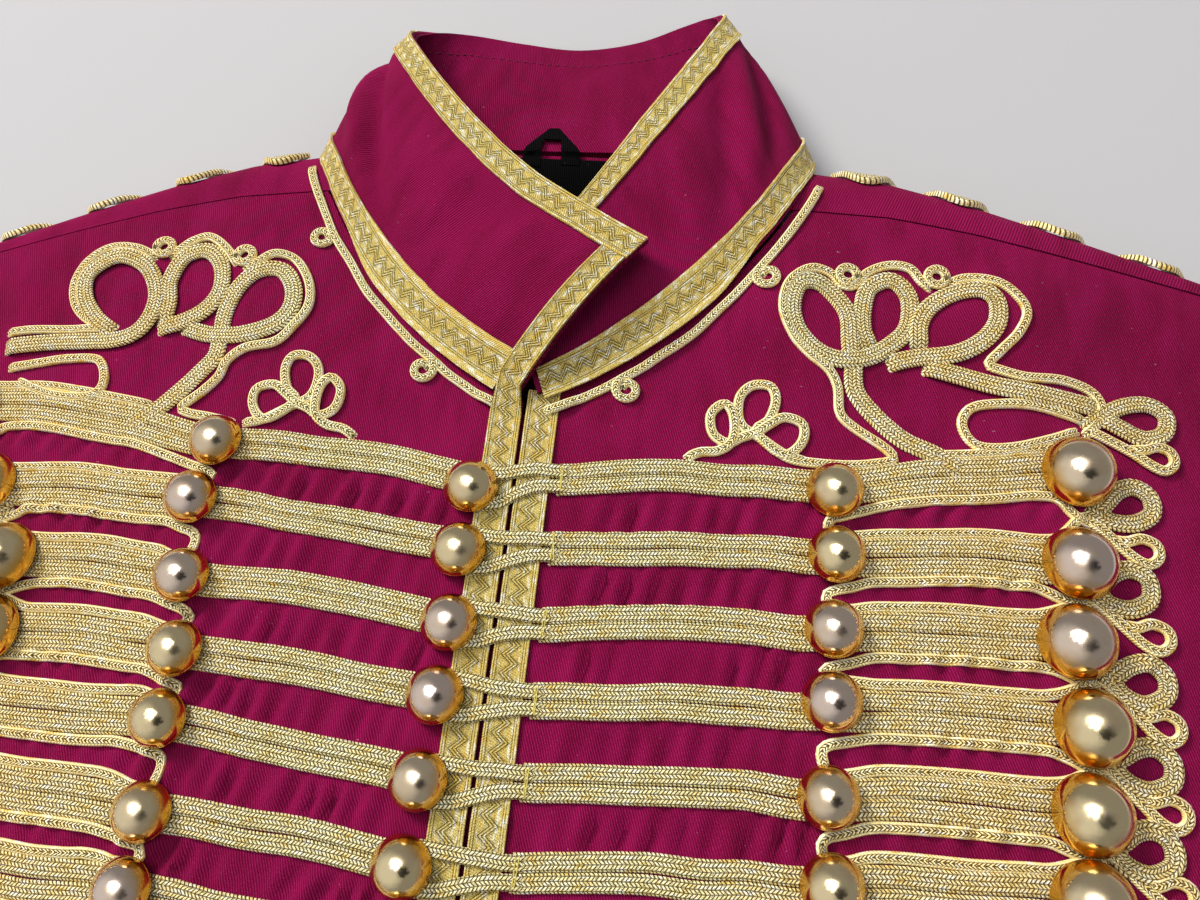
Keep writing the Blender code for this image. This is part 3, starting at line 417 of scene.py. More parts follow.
def add_wall(piece, grid, coords, wall, floor=None, turned=False, skip=None):
    """A closed wall of cloth whose outer side is the grid."""
    rows = len(grid)
    columns = len(grid[0])
    outer = [p for row in grid for p in row]
    uv = [c for row in coords for c in row]
    faces = grid_faces(rows, columns, turned, skip)
    normals = sheet_normals(outer, faces)
    inner = [p - n * wall for p, n in zip(outer, normals)]
    if floor is not None:
        for p in inner:
            p.z = max(p.z, floor)
    count = len(outer)
    closed = list(faces) + [tuple(count + i for i in reversed(face)) for face in faces]
    directed = set()
    for face in faces:
        for a, b in zip(face, face[1:] + face[:1]):
            directed.add((a, b))
    for a, b in directed:
        if (b, a) not in directed:
            closed.append((b, a, count + a, count + b))
    piece.add(outer + inner, closed, uv + uv)


# ---------------------------------------------------------------- plan of the pieces

LOWER_ROWS = 5
NECK_ROWS = 5
HPS_X = 87.0
# Places on the armhole, from the underarm to the shoulder tip, where fronts, back and sleeves meet
ARMHOLE_STATIONS = (0.0, 0.04, 0.12, 0.28, 0.45, 0.6, 0.68, 0.76, 0.84, 0.92, 1.0)


def armhole_point(share):
    """On the armhole: 0 at the underarm, 1 at the shoulder tip."""
    x, y = through(ARMHOLE, (1.0 - share) * (len(ARMHOLE) - 1))
    return x, y


# How the shoulder rolls: share of the way from seam to fold, share of the height, neck edge's x
ROLL = (
    # seam_to_fold, height, neck_x
    (0.72, 0.0, 96.5),
    (0.93, 0.12, 98.0),
    (1.0, 0.42, 98.8),
    (0.86, 0.76, 98.0),
    (0.5, 0.95, 95.5),
    (0.0, 1.0, 90.0),
)


def sleeve_row_ends(share):
    """Fold end and underarm end of a cross-section of the sleeve in plan."""
    along = Vector((math.cos(SLEEVE_ANGLE), math.sin(SLEEVE_ANGLE)))
    across = Vector((-along.y, along.x))
    tip = Vector((ARMHOLE[0][0] + SEAM_GAP, SHOULDER[-1][2]))
    cuff_outer = tip + along * SLEEVE_LENGTH
    cuff_inner = cuff_outer - across * CUFF_WIDTH
    underarm = Vector((UNDERARM_X + SEAM_GAP, UNDERARM_Y))
    elbow = math.sin(math.pi * share)
    outer = tip.lerp(cuff_outer, share) + across * (7.0 * elbow)
    inner = underarm.lerp(cuff_inner, share) + across * (5.0 * elbow)
    return outer, inner


def sleeve_plan(share, column_share):
    outer, inner = sleeve_row_ends(share)
    straight = outer.lerp(inner, column_share)
    tip_y = ARMHOLE[0][1]
    if column_share < SLEEVE_TOP_SHARE:
        y = lerp(SHOULDER[-1][2], tip_y, column_share / SLEEVE_TOP_SHARE)
        arm = Vector((ARMHOLE[0][0] + FOLD_GAP, y))
    else:
        place = (column_share - SLEEVE_TOP_SHARE) / (1.0 - SLEEVE_TOP_SHARE)
        x, y = armhole_point(1.0 - place)
        arm = Vector((x + ARMHOLE_GAP + TIP_GAP * smooth(y / tip_y), y))
    return arm.lerp(straight, smooth(share / 0.3))


FRONT_LINES = 146
FRONT_COLUMNS = 184
BACK_NECK_COLUMNS = 10
BACK_SHOULDER_COLUMNS = 30
ROLL_LINES = 26
SLEEVE_LINES = 70
COLLAR_STEPS = 7


# ---------------------------------------------------------------- materials

class Nodes:
    """A node tree with short calls for its nodes."""

    def __init__(self, tree):
        self.tree = tree

    def put(self, socket, value):
        """Links a socket, or sets it; a tuple is a colour."""
        if isinstance(value, bpy.types.NodeSocket):
            self.tree.links.new(value, socket)
        elif isinstance(value, tuple):
            socket.default_value = (*value, 1.0)
        else:
            socket.default_value = value

    def math(self, operation, a, b=0.0, c=0.0):
        node = self.tree.nodes.new("ShaderNodeMath")
        node.operation = operation
        for socket, value in zip(node.inputs, (a, b, c)):
            self.put(socket, value)
        return node.outputs[0]

    def times(self, a, b):
        return self.math("MULTIPLY", a, b)

    def minus(self, a, b):
        return self.math("SUBTRACT", a, b)

    def scaled(self, value, factor, more):
        """The value times the factor, and more added."""
        return self.math("MULTIPLY_ADD", value, factor, more)

    def absolute(self, value):
        return self.math("ABSOLUTE", value)

    def between(self, value, low, high, bottom=0.0, top=1.0):
        """Smooth step of a value from low to high, given as bottom to top."""
        node = self.tree.nodes.new("ShaderNodeMapRange")
        node.interpolation_type = "SMOOTHSTEP"
        for socket, part in zip(node.inputs, (value, low, high, bottom, top)):
            self.put(socket, part)
        return node.outputs[0]

    def wave(self, value, pitch, phase=0.0):
        """From 0 to 1 and back over each pitch."""
        turn = self.scaled(value, 2.0 * math.pi / pitch, phase)
        return self.scaled(self.math("SINE", turn), 0.5, 0.5)

    def cloud(self, place, scale=1.0, detail=2.0, rough=0.5):
        """Noise over a place."""
        node = self.tree.nodes.new("ShaderNodeTexNoise")
        node.inputs["Scale"].default_value = scale
        node.inputs["Detail"].default_value = detail
        node.inputs["Roughness"].default_value = rough
        self.tree.links.new(place, node.inputs["Vector"])
        return node.outputs["Fac"]

    def position(self):
        """The place in the frame, in metres."""
        return self.tree.nodes.new("ShaderNodeNewGeometry").outputs["Position"]


class Surface(Nodes):
    """A material whose patterns follow the cloth coordinates, in millimetres."""

    def __init__(self, name):
        self.material = bpy.data.materials.new(name)
        self.material.use_nodes = True
        super().__init__(self.material.node_tree)
        self.shader = self.tree.nodes["Principled BSDF"]
        split = self.tree.nodes.new("ShaderNodeSeparateXYZ")
        source = self.tree.nodes.new("ShaderNodeUVMap")
        source.uv_map = "cloth"
        self.tree.links.new(source.outputs["UV"], split.inputs[0])
        self.coords = source.outputs["UV"]
        self.u = split.outputs["X"]
        self.v = split.outputs["Y"]

    def speckle(self, size, detail=2.0, stretch=(1.0, 1.0), seed=0.0, rough=0.5):
        """Noise with spots of about a size in millimetres."""
        place = self.tree.nodes.new("ShaderNodeVectorMath")
        place.operation = "MULTIPLY_ADD"
        self.put(place.inputs[0], self.coords)
        place.inputs[1].default_value = (1.0 / (size * stretch[0]), 1.0 / (size * stretch[1]), 1.0)
        place.inputs[2].default_value = (seed, seed * 1.7, seed * 0.3)
        return self.cloud(place.outputs[0], 1.0, detail, rough)

    def mix(self, factor, a, b):
        node = self.tree.nodes.new("ShaderNodeMix")
        node.data_type = "RGBA"
        self.put(node.inputs["Factor"], factor)
        self.put(node.inputs["A"], a)
        self.put(node.inputs["B"], b)
        return node.outputs["Result"]

    def set(self, **values):
        """Sets the shader's sockets by their names in lower case."""
        for name, value in values.items():
            label = name.replace("_", " ").title().replace("Ior", "IOR")
            self.put(self.shader.inputs[label], value)

    def bump(self, height, depth):
        """Relief whose depth is in millimetres."""
        node = self.tree.nodes.new("ShaderNodeBump")
        node.inputs["Strength"].default_value = 1.0
        node.inputs["Distance"].default_value = depth * METRES
        self.put(node.inputs["Height"], height)
        self.put(self.shader.inputs["Normal"], node.outputs["Normal"])


def make_twill():
    """Burgundy cotton twill: diagonal ribs with painted shade in their grooves and painted light on
    their crests, long streaks of painted light and shade like the puckers', and a few specks of lint.
    """
    s = Surface("burgundy_twill")
    along = s.scaled(s.v, 0.36, s.u)
    uneven = s.scaled(s.speckle(6.0, 2.0, seed=1.0), 0.6, along)
    ribs = s.wave(uneven, 0.82)
    threads = s.wave(s.scaled(s.v, -1.6, s.u), 0.6)
    grain = s.speckle(0.6, 3.0, rough=0.7)
    patches = s.speckle(60.0, 2.0, seed=3.0)
    # Streak noise, long along y: painted light where it is high and painted shade where it is low, like
    # the shading of the puckers.
    fade = s.speckle(8.0, 3.0, (1.0, 3.0), seed=7.0)
    base = s.mix(s.between(patches, 0.3, 0.72), (0.165, 0.0012, 0.032), (0.225, 0.0022, 0.052))
    base = s.mix(s.between(fade, 0.42, 0.8, 0.0, 0.4), base, (0.27, 0.006, 0.08))
    base = s.mix(s.between(fade, 0.3, 0.5, 0.45, 0.0), base, (0.10, 0.0006, 0.018))
    # Painted shade in the rib grooves and, with the grain, painted light on the rib crests.
    dark = s.times(s.minus(1.0, ribs), 0.6)
    base = s.mix(dark, base, (0.075, 0.0004, 0.013))
    painted_rib_light = s.times(s.between(grain, 0.45, 0.75, 0.1, 0.6), ribs)
    base = s.mix(painted_rib_light, base, (0.33, 0.035, 0.12))
    lint = s.between(s.speckle(1.4, 2.0, (2.2, 0.8), seed=13.0, rough=0.6), 0.745, 0.79)
    base = s.mix(s.times(lint, 0.5), base, (0.48, 0.24, 0.33))
    s.set(base_color=base)
    s.set(roughness=0.78, sheen_weight=0.02, sheen_roughness=0.4, sheen_tint=(0.9, 0.35, 0.55),
          specular_ior_level=0.05)
    relief = s.scaled(threads, 0.35, ribs)
    relief = s.scaled(grain, 0.7, relief)
    s.bump(relief, 0.22)
    return s.material


def gold_tones(s, height, seed, light_a=(0.93, 0.83, 0.43), light_b=(0.96, 0.76, 0.34)):
    """Champagne thread with painted near-white highlights on some strands, over painted brown shade
    where the relief is low, greener in the middle and redder outside.
    """
    parts = s.tree.nodes.new("ShaderNodeSeparateXYZ")
    s.tree.links.new(s.position(), parts.inputs[0])
    outside = s.between(s.absolute(parts.outputs["X"]), 0.055, 0.15)
    tone = s.scaled(s.speckle(24.0, 2.0, seed=seed), 0.9, s.times(outside, 0.3))
    light = s.mix(s.between(tone, 0.35, 0.85), light_a, light_b)
    strand = s.speckle(1.3, 2.0, (3.0, 0.8), seed=seed + 4.0, rough=0.6)
    light = s.mix(s.between(strand, 0.56, 0.7, 0.0, 0.85), light, (0.80, 0.50, 0.07))
    # Painted highlights: near-white glints on some strands.
    light = s.mix(s.between(strand, 0.33, 0.48, 0.95, 0.0), light, (1.0, 0.97, 0.78))
    dark = s.mix(outside, (0.075, 0.050, 0.006), (0.10, 0.048, 0.006))
    # Painted shade: where the height is low the dark brown shows, where it is high the lit thread.
    return s.mix(height, dark, light)


def finish_gold(s, tones, grain, smoothest, roughest, relief, depth):
    """Colours a gold surface, with the gloss following its grain and the relief its stitches."""
    s.set(base_color=tones)
    s.set(roughness=s.between(grain, 0.3, 0.7, smoothest, roughest), metallic=0.25,
          specular_ior_level=0.35)
    s.bump(relief, depth)
    return s.material


def make_braid():
    """Gold braid plaited in chains of small slanting stitches."""
    s = Surface("gold_braid")
    column = 1.3
    fold = s.math("PINGPONG", s.math("ADD", s.v, 0.5 * column), column)
    jitter = s.scaled(s.speckle(1.8, 2.0, seed=2.0), 0.7, s.u)
    ribs = s.wave(s.scaled(fold, 0.85, jitter), 1.2)
    border = s.math("MINIMUM", fold, s.minus(column, fold))
    furrow = s.between(border, 0.0, 0.26, 0.1, 1.0)
    grain = s.speckle(0.45, 2.0, rough=0.7)
    gaps = s.speckle(0.9, 2.0, (1.4, 0.8), seed=17.0, rough=0.6)
    stitch = s.times(s.between(ribs, 0.0, 0.5), furrow)
    stitch = s.scaled(s.minus(grain, 0.5), 0.8, stitch)
    stitch = s.times(stitch, s.between(gaps, 0.3, 0.46, 0.3, 1.0))
    # The relief's low places, the furrows between the columns and the gaps, come out as painted shade.
    tones = gold_tones(s, s.between(stitch, 0.0, 0.55), 5.0)
    return finish_gold(s, tones, grain, 0.22, 0.42, stitch, 0.5)


def make_cord():
    """Thin gold braid: two outer strands and a plait with dots between them, where painted shade in the
    hollows leaves the strands bright and the dots dark.
    """
    s = Surface("gold_cord")
    away = s.absolute(s.v)
    jitter = s.scaled(s.speckle(1.6, 2.0, seed=2.0), 0.4, s.u)
    ribs = s.wave(s.scaled(away, -1.3, jitter), 1.2)
    inner = s.between(away, 0.75, 0.95, 1.0, 0.0)
    outer = s.wave(s.scaled(away, 1.0, jitter), 1.0)
    dots = s.times(s.wave(jitter, 2.2, 0.6), s.between(away, 0.0, 0.5, 1.0, 0.0))
    rim = s.between(s.absolute(s.minus(away, 0.86)), 0.0, 0.2, 0.35, 1.0)
    grain = s.speckle(0.4, 2.0, rough=0.7)
    middle = s.times(s.between(ribs, 0.05, 0.6), s.between(dots, 0.35, 0.8, 1.0, 0.0))
    edge = s.scaled(outer, 0.35, 0.6)
    stitch = s.scaled(inner, s.minus(middle, edge), edge)
    stitch = s.times(stitch, rim)
    stitch = s.scaled(s.minus(grain, 0.5), 0.5, stitch)
    # Painted shade in the relief's hollows and dots, lit tones on the raised strands.
    tones = gold_tones(s, s.between(stitch, 0.02, 0.62), 9.0)
    return finish_gold(s, tones, grain, 0.28, 0.5, stitch, 0.45)


def make_lace():
    """Woven gold lace: double ribbed borders and stepped zigzag lines over a satin field."""
    s = Surface("gold_lace")
    away = s.absolute(s.v)
    saw = s.math("PINGPONG", s.u, 2.9)
    across = s.minus(s.v, s.scaled(saw, 1.15, -1.67))
    lines = s.math("PINGPONG", across, 0.62)
    chain = s.wave(s.u, 0.7)
    near = s.between(s.absolute(across), 1.7, 2.0, 1.0, 0.0)
    zigzag = s.times(s.between(lines, 0.08, 0.42), s.between(chain, 0.0, 0.5, 0.6, 1.0))
    slant = s.scaled(s.v, 0.5, s.u)
    satin = s.scaled(s.wave(slant, 0.85), 0.4, 0.42)
    dimple = s.between(s.absolute(s.minus(s.absolute(across), 1.95)), 0.0, 0.4)
    field = s.scaled(near, s.minus(zigzag, satin), satin)
    field = s.times(field, s.scaled(dimple, 0.45, 0.55))
    inside = s.between(away, 3.75, 3.95, 1.0, 0.0)
    border = s.scaled(s.wave(s.scaled(away, 0.6, s.u), 0.8), 0.35, 0.62)
    groove = s.math("MINIMUM", s.absolute(s.minus(away, 3.85)),
                    s.absolute(s.minus(away, 4.65)))
    grain = s.speckle(0.45, 2.0, rough=0.7)
    height = s.scaled(inside, s.minus(field, border), border)
    height = s.times(height, s.between(groove, 0.02, 0.26, 0.2, 1.0))
    height = s.scaled(s.minus(grain, 0.5), 1.3, height)
    # Painted shade in the lace's grooves, dimples and low satin; lit tones on the raised lines and
    # ribs.
    tones = gold_tones(s, s.between(height, -0.25, 0.85), 2.0,
                       (0.74, 0.59, 0.18), (0.74, 0.50, 0.12))
    return finish_gold(s, tones, grain, 0.3, 0.52, height, 0.5)


def make_gilt():
    """Polished gilt brass: each button a little paler or redder, and all redder along the rim, a
    painted reflection of the braid around them.
    """
    s = Surface("gilt_button")
    cloud = s.cloud(s.position(), 130.0)
    # Painted reflection: the colour turns orange towards each dome's rim, as the surrounding braid
    # would mirror there.
    rim = s.between(s.scaled(cloud, 0.3, s.u), 0.75, 1.12)
    # Each button's tint, pinker or yellower, set by its turn.
    button_tint = s.between(s.wave(s.v, 2.6), 0.15, 0.6)
    dome = s.mix(button_tint, (0.90, 0.72, 0.60), (0.98, 0.80, 0.46))
    dome = s.mix(s.between(cloud, 0.45, 0.7, 0.0, 0.6), dome, (0.80, 0.60, 0.38))
    s.set(base_color=s.mix(rim, dome, (0.80, 0.44, 0.07)))
    s.set(metallic=1.0, roughness=s.between(cloud, 0.35, 0.65, 0.12, 0.26))
    return s.material


def make_tape():
    """Black ribbed tape with a little lint."""
    s = Surface("black_tape")
    warp = s.wave(s.scaled(s.v, 0.12, s.u), 0.85)
    weft = s.wave(s.v, 0.5)
    weave = s.times(warp, s.scaled(weft, 0.5, 0.5))
    grain = s.speckle(0.6, 3.0, rough=0.7)
    lint = s.between(s.speckle(1.2, 2.0, (2.0, 0.7), seed=4.0), 0.74, 0.79)
    # Painted light on the ribs' crests and painted shade between them.
    base = s.mix(weave, (0.0008, 0.0008, 0.0008), (0.006, 0.0055, 0.006))
    base = s.mix(s.times(lint, 0.4), base, (0.16, 0.14, 0.15))
    s.set(base_color=base)
    s.set(roughness=0.8, sheen_weight=0.0, specular_ior_level=0.06)
    s.bump(s.scaled(grain, 0.5, weave), 0.15)
    return s.material


def make_thread(name, dark, light):
    """Twisted sewing thread."""
    s = Surface(name)
    twist = s.wave(s.math("ADD", s.u, s.v), 0.35)
    # Painted light on the twist's ridges and painted shade in its grooves.
    s.set(base_color=s.mix(twist, dark, light), roughness=0.55, specular_ior_level=0.4)
    s.bump(twist, 0.08)
    return s.material


def make_floor():
    """Pale grey studio floor."""
    s = Surface("studio_floor")
    tone = s.mix(s.cloud(s.position(), 1.2), (0.36, 0.353, 0.356), (0.37, 0.363, 0.366))
    s.set(base_color=tone, roughness=0.9, specular_ior_level=0.1)
    return s.material


TWILL = make_twill()
BRAID = make_braid()
CORD = make_cord()
LACE = make_lace()
GILT = make_gilt()
TAPE = make_tape()
THREAD = make_thread("burgundy_thread", (0.08, 0.0008, 0.015), (0.24, 0.012, 0.07))
TACK = make_thread("yellow_thread", (0.48, 0.38, 0.06), (0.84, 0.74, 0.24))
FLOOR = make_floor()


# ---------------------------------------------------------------- cloth

def row_y(number, x):
    """The y of a row's middle line at a distance from the centre."""
    across = abs(x)
    y = FIRST_ROW_Y - ROW_SPACING * (number - 1) + ROW_SLOPE * min(across, INNER_COLUMN_X)
    y += OUTER_ROW_SLOPE * max(0.0, across - INNER_COLUMN_X)
    if number == 1:
        y += FIRST_ROW_RISE * smooth((across - INNER_COLUMN_X) / (OUTER_COLUMN_X - INNER_COLUMN_X))
    return y


def ripple(x, y):
    """How the fronts pucker between the rows of braid and lie in soft folds elsewhere."""
    across = abs(x)
    fade = smooth(side_distance(x, y) / 30.0) * smooth((y - HEM_Y) / 20.0)
    fade *= lerp(0.25, 1.0, smooth((across - 13.0) / 14.0))
    if across < NECK_HALF_WIDTH:
        fade *= smooth((neck_y(across) - y) / 16.0)
    seam_y = table_at(SHOULDER, across)[1]
    fade *= smooth((seam_y + skew(math.copysign(1.0, x), across, seam_y) - y) / 16.0)
    if fade <= 0.0:
        return 0.0
    place = (row_y(1, x) - y) / ROW_SPACING
    in_rows = smooth((place + 0.3) / 0.5) * smooth((ROW_COUNT - 0.4 - place) / 0.6)
    in_rows *= smooth((PUCKER_END_X - across) / 12.0)
    between = abs(place - round(place)) * 2.0
    gap = math.floor(place)
    slanted = x - PUCKER_SLANT * y
    outside = smooth((across - PUCKER_SOFT_X) / 10.0)
    drift = 0.6 * wobble(x / 22.0, gap * 3.7, 3.0)
    strength = 1.2 + 1.2 * wobble(x / 24.0, gap * 2.3, 11.0)
    strength *= lerp(1.0, 0.5, outside)
    gather = strength * math.sin(2.0 * math.pi * (slanted / PUCKER_PITCH + drift))
    gather += wobble(slanted / 5.2, y / 26.0, 5.0) * 1.6
    broad = wobble((x + 0.3 * y) / 38.0, (y - 0.2 * x) / 55.0, 6.0) * 2.6
    broad += wobble((x - 0.6 * y) / 17.0, y / 42.0, 9.0) * 0.9
    free = lerp(0.4, 0.62, outside)
    drawn = gather * smooth((between - free) / 0.3) + 0.35 * broad
    return fade * lerp(broad, drawn, in_rows)


def cloth_z(x, y):
    """Height of the fronts with their puckers and folds."""
    return front_height(x, y) + ripple(x, y)


def make_twill_piece(name, grid, coords, wall, flat, rests_on=(), **options):
    """A wall of twill from its outer points."""
    piece = Piece(name)
    add_wall(piece, grid, coords, wall, **options)
    made = piece.make(TWILL, [name])


def spread(stations, place):
    """A table of rising shares, read at a fractional place."""
    index = min(len(stations) - 2, int(place))
    return lerp(stations[index], stations[index + 1], place - index)


def front_ends(place):
    """Plan ends of a line across a front: on the edge or neckline, and at the side or armhole."""
    edge_x = FRONT_GAP / 2.0
    if place <= LOWER_ROWS:
        y = lerp(HEM_Y, UNDERARM_Y, place / LOWER_ROWS)
        return (edge_x, y), (side_x(y), y)
    step = place - LOWER_ROWS
    turn = len(ARMHOLE_STATIONS) - 1 - NECK_ROWS
    at = spread(ARMHOLE_STATIONS, step)
    if step <= turn:
        share = at / ARMHOLE_STATIONS[turn]
        return (edge_x, lerp(UNDERARM_Y, neck_y(edge_x), share)), armhole_point(at)
    x = lerp(edge_x, HPS_X, (step - turn) / NECK_ROWS)
    return (x, neck_y(x)), armhole_point(at)


def make_front(name, side):
    """A front, from the hem and the edge to the shoulder seam."""
    top = LOWER_ROWS + len(ARMHOLE_STATIONS) - 1
    seam_inside = front_ends(top)
    grid = []
    coords = []
    for i in range(FRONT_LINES + 1):
        place = top * i / FRONT_LINES
        inside, outside = front_ends(place)
        lift = smooth((place - (top - NECK_ROWS)) / NECK_ROWS)
        row = []
        for j in range(FRONT_COLUMNS + 1):
            share = j / FRONT_COLUMNS
            share = lerp(share, 1.0 - (1.0 - share) ** 2, 0.35)
            x = lerp(inside[0], outside[0], share)
            y = lerp(inside[1], outside[1], share)
            if x >= HPS_X:
                target = table_at(SHOULDER, x)[1] - SHOULDER_SEAM_GAP
                y += (target - lerp(seam_inside[0][1], seam_inside[1][1], share)) * lift
            y += skew(side, x, y)
            row.append(Vector((side * x, y, front_height(x, y) + ripple(side * x, y))))
        grid.append(row)
        coords.append([(p.x, p.y) for p in row])
    make_twill_piece(name, grid, coords, WALL, (0.262, 0.475), ["back"],
                     floor=FOLD_FLOOR, turned=side < 0)


# How far the shoulder runs on under the collar
UNDER_COLLAR = 6.0


def on_roll(side, x, place):
    """A point on the shoulder's rolled edge: place 0 at the seam, rising over the fold."""
    along, height_share, _ = through(ROLL, place)
    _, seam_y, fold_y = table_at(SHOULDER, x)
    y = lerp(seam_y, fold_y, along) + skew(side, x, seam_y)
    return Vector((side * x, y, front_height(x, seam_y) * max(0.0, height_share)))


def roll_normal(side, x, place):
    up = on_roll(side, x, place + 0.05) - on_roll(side, x, place - 0.05)
    sideways = on_roll(side, x + 0.5, place) - on_roll(side, x - 0.5, place)
    normal = sideways.cross(up).normalized() * side
    return -normal if normal.z + normal.y < 0.0 else normal


def roll_line(side, place, columns):
    """Outer points across one shoulder, at a fractional row of the roll's table."""
    start = through(ROLL, place)[2] - UNDER_COLLAR
    return [on_roll(side, lerp(start, ARMHOLE[0][0], i / (columns - 1.0)), place)
            for i in range(columns)]


def make_back():
    """The back, flat below, rising to the neck in the middle and rolling over at the shoulders."""
    count = BACK_NECK_COLUMNS + BACK_SHOULDER_COLUMNS
    grid = []
    ends = [(side_x(y), y) for y in (lerp(HEM_Y, UNDERARM_Y, i / 24.0) for i in range(24))]
    ends += [armhole_point(i / 30.0) for i in range(31)]
    for outside, y in ends:
        line = []
        for c in range(1 - count, count):
            x = outside * c / (count - 1)
            line.append(Vector((x, y + skew(1 if c > 0 else -1, abs(x), y), 0.0)))
        grid.append(line)
    flat = len(grid)
    last = len(ROLL) - 1
    for i in range(ROLL_LINES + 1):
        rise = i / ROLL_LINES
        neck = []
        for c in range(BACK_NECK_COLUMNS):
            x = BACK_NECK_X * c / (BACK_NECK_COLUMNS - 1.0)
            y = lerp(NECK_RISE_START_Y, NECK_BACK_Y - 1.5 * (x / BACK_NECK_X) ** 2, rise)
            neck.append(Vector((x, y, NECK_BACK_HEIGHT * smooth(rise))))
        mirrored = [Vector((-p.x, p.y, p.z)) for p in neck[:0:-1]]
        left = roll_line(1, last * rise, BACK_SHOULDER_COLUMNS)
        right = roll_line(-1, last * rise, BACK_SHOULDER_COLUMNS)[::-1]
        grid.append(right + mirrored + neck + left)
    coords = []
    climb = [0.0] * len(grid[0])
    for i, line in enumerate(grid):
        if i > flat:
            climb = [c + (p - q).length for c, p, q in zip(climb, line, grid[i - 1])]
        else:
            climb = [p.y for p in line]
        coords.append([(p.x, c) for p, c in zip(line, climb)])
    middle = count - 1
    gap = (middle + BACK_NECK_COLUMNS - 1, middle - BACK_NECK_COLUMNS)
    make_twill_piece("back", grid, coords, WALL, (0.524, 0.56), turned=True,
                     skip=lambda row, column: row >= flat and column in gap)


def sleeve_fold(share, across):
    """Soft folds across the sleeve, deeper at the elbow and near the armhole."""
    fade = smooth(share / 0.12) * smooth((1.0 - share) / 0.1)
    fade *= smooth(across / 0.2) * smooth((1.0 - across) / 0.2)
    place = Vector((across * 2.4 + share * 3.0, share * 9.0, 2.0))
    deep = noise.noise(place) * 1.9 + noise.noise(place * 2.3) * 0.7
    elbow = 0.6 + 0.8 * hump(share, 0.45, 0.35) + 0.6 * hump(share, 0.1, 0.15)
    return fade * deep * elbow


def make_sleeve(name, side, upper):
    """Upper or under half of a sleeve, from the armhole to the cuff."""
    columns = [0.0, 0.004, 0.012, 0.022]
    columns += [lerp(SLEEVE_TOP_SHARE, 1.0, 0.5 - 0.5 * math.cos(math.pi * i / 34.0))
                for i in range(35)]
    tip_height = front_height(ARMHOLE[0][0], ARMHOLE[0][1])
    grid = []
    coords = []
    for i in range(SLEEVE_LINES + 1):
        share = i / SLEEVE_LINES
        share = lerp(share, share * share, 0.3)
        outer, inner = sleeve_row_ends(share)
        width = (outer - inner).length
        height = lerp(tip_height, SLEEVE_HEIGHT, smooth(share / 0.8))
        row = []
        for across in columns:
            plan = sleeve_plan(share, across)
            shift = skew(side, plan.x, plan.y) * (1.0 - smooth(share / 0.3))
            z = 0.0
            if upper:
                tube = min(rounded(across * width, SLEEVE_FOLD_ROUNDING),
                           rounded((1.0 - across) * width, SLEEVE_SEAM_ROUNDING))
                tube_z = FOLD_FLOOR + (height - FOLD_FLOOR) * tube
                if across >= SLEEVE_TOP_SHARE:
                    arm_z = front_height(plan.x, min(plan.y, ARMHOLE[0][1]))
                else:
                    arm_z = lerp(FOLD_FLOOR, tip_height, math.sqrt(across / SLEEVE_TOP_SHARE))
                z = lerp(arm_z, tube_z, smooth(share / 0.25))
                z = max(FOLD_FLOOR, z + sleeve_fold(share, across))
            row.append(Vector((side * plan.x, plan.y + shift, z)))
        grid.append(row)
        coords.append([(across * width, share * SLEEVE_LENGTH) for across in columns])
    make_twill_piece(name, grid, coords, WALL, (0.25, 0.65), turned=(side < 0) == upper,
                     floor=FOLD_FLOOR if upper else None)


def make_underlap():
    """The strip behind the front edges."""
    drop = WALL + SEAM_GAP + 0.4
    grid = []
    for i in range(91):
        y = lerp(HEM_Y + 2.0, -12.0, i / 90.0)
        row = []
        for x in (-12.0, -8.0, -4.0, 0.0, 4.0, 8.0, 12.0, 18.0, 24.0):
            row.append(Vector((x, y, front_height(x, y) - drop)))
        grid.append(row)
    coords = [[(p.x, p.y) for p in row] for row in grid]
    make_twill_piece("front_underlap", grid, coords, UNDERLAP_WALL, (0.037, 0.39))


def make_collar(name, outside, wall):
    """One layer of the collar, a distance inside its outer surface."""
    rises = [i / 26.0 for i in range(27)]
    grid = []
    coords = []
    run = 0.0
    before = None
    for i in range(LAST_STATION * COLLAR_STEPS + 1):
        station = i / COLLAR_STEPS
        middle = collar_flat(station, 0.5)
        if before:
            run += (middle - before).length
        before = middle
        row = []
        for rise in rises:
            row.append(collar_point(station, rise) - collar_normal(station, rise) * outside)
        grid.append(row)
        coords.append([(run, rise * 62.0) for rise in rises])
    make_twill_piece(name, grid, coords, wall, (0.5, 0.07))


# ---------------------------------------------------------------- braid and lace

# Cross-sections: share of the half-width and share of the thickness, over the top from edge to edge
BRAID_SECTION = (
    (-1.0, 0.25), (-0.94, 0.7), (-0.8, 0.95), (-0.5, 1.0), (-0.2, 0.97), (0.0, 0.94),
    (0.2, 0.97), (0.5, 1.0), (0.8, 0.95), (0.94, 0.7), (1.0, 0.25),
)
CORD_SECTION = (
    (-1.0, 0.3), (-0.82, 0.82), (-0.42, 1.0), (0.0, 0.8), (0.42, 1.0), (0.82, 0.82), (1.0, 0.3),
)
LACE_SECTION = (
    (-1.0, 0.35), (-0.97, 0.9), (-0.86, 1.0), (-0.76, 0.9), (-0.7, 0.68), (-0.35, 0.74), (0.0, 0.76),
    (0.35, 0.74), (0.7, 0.68), (0.76, 0.9), (0.86, 1.0), (0.97, 0.9), (1.0, 0.35),
)


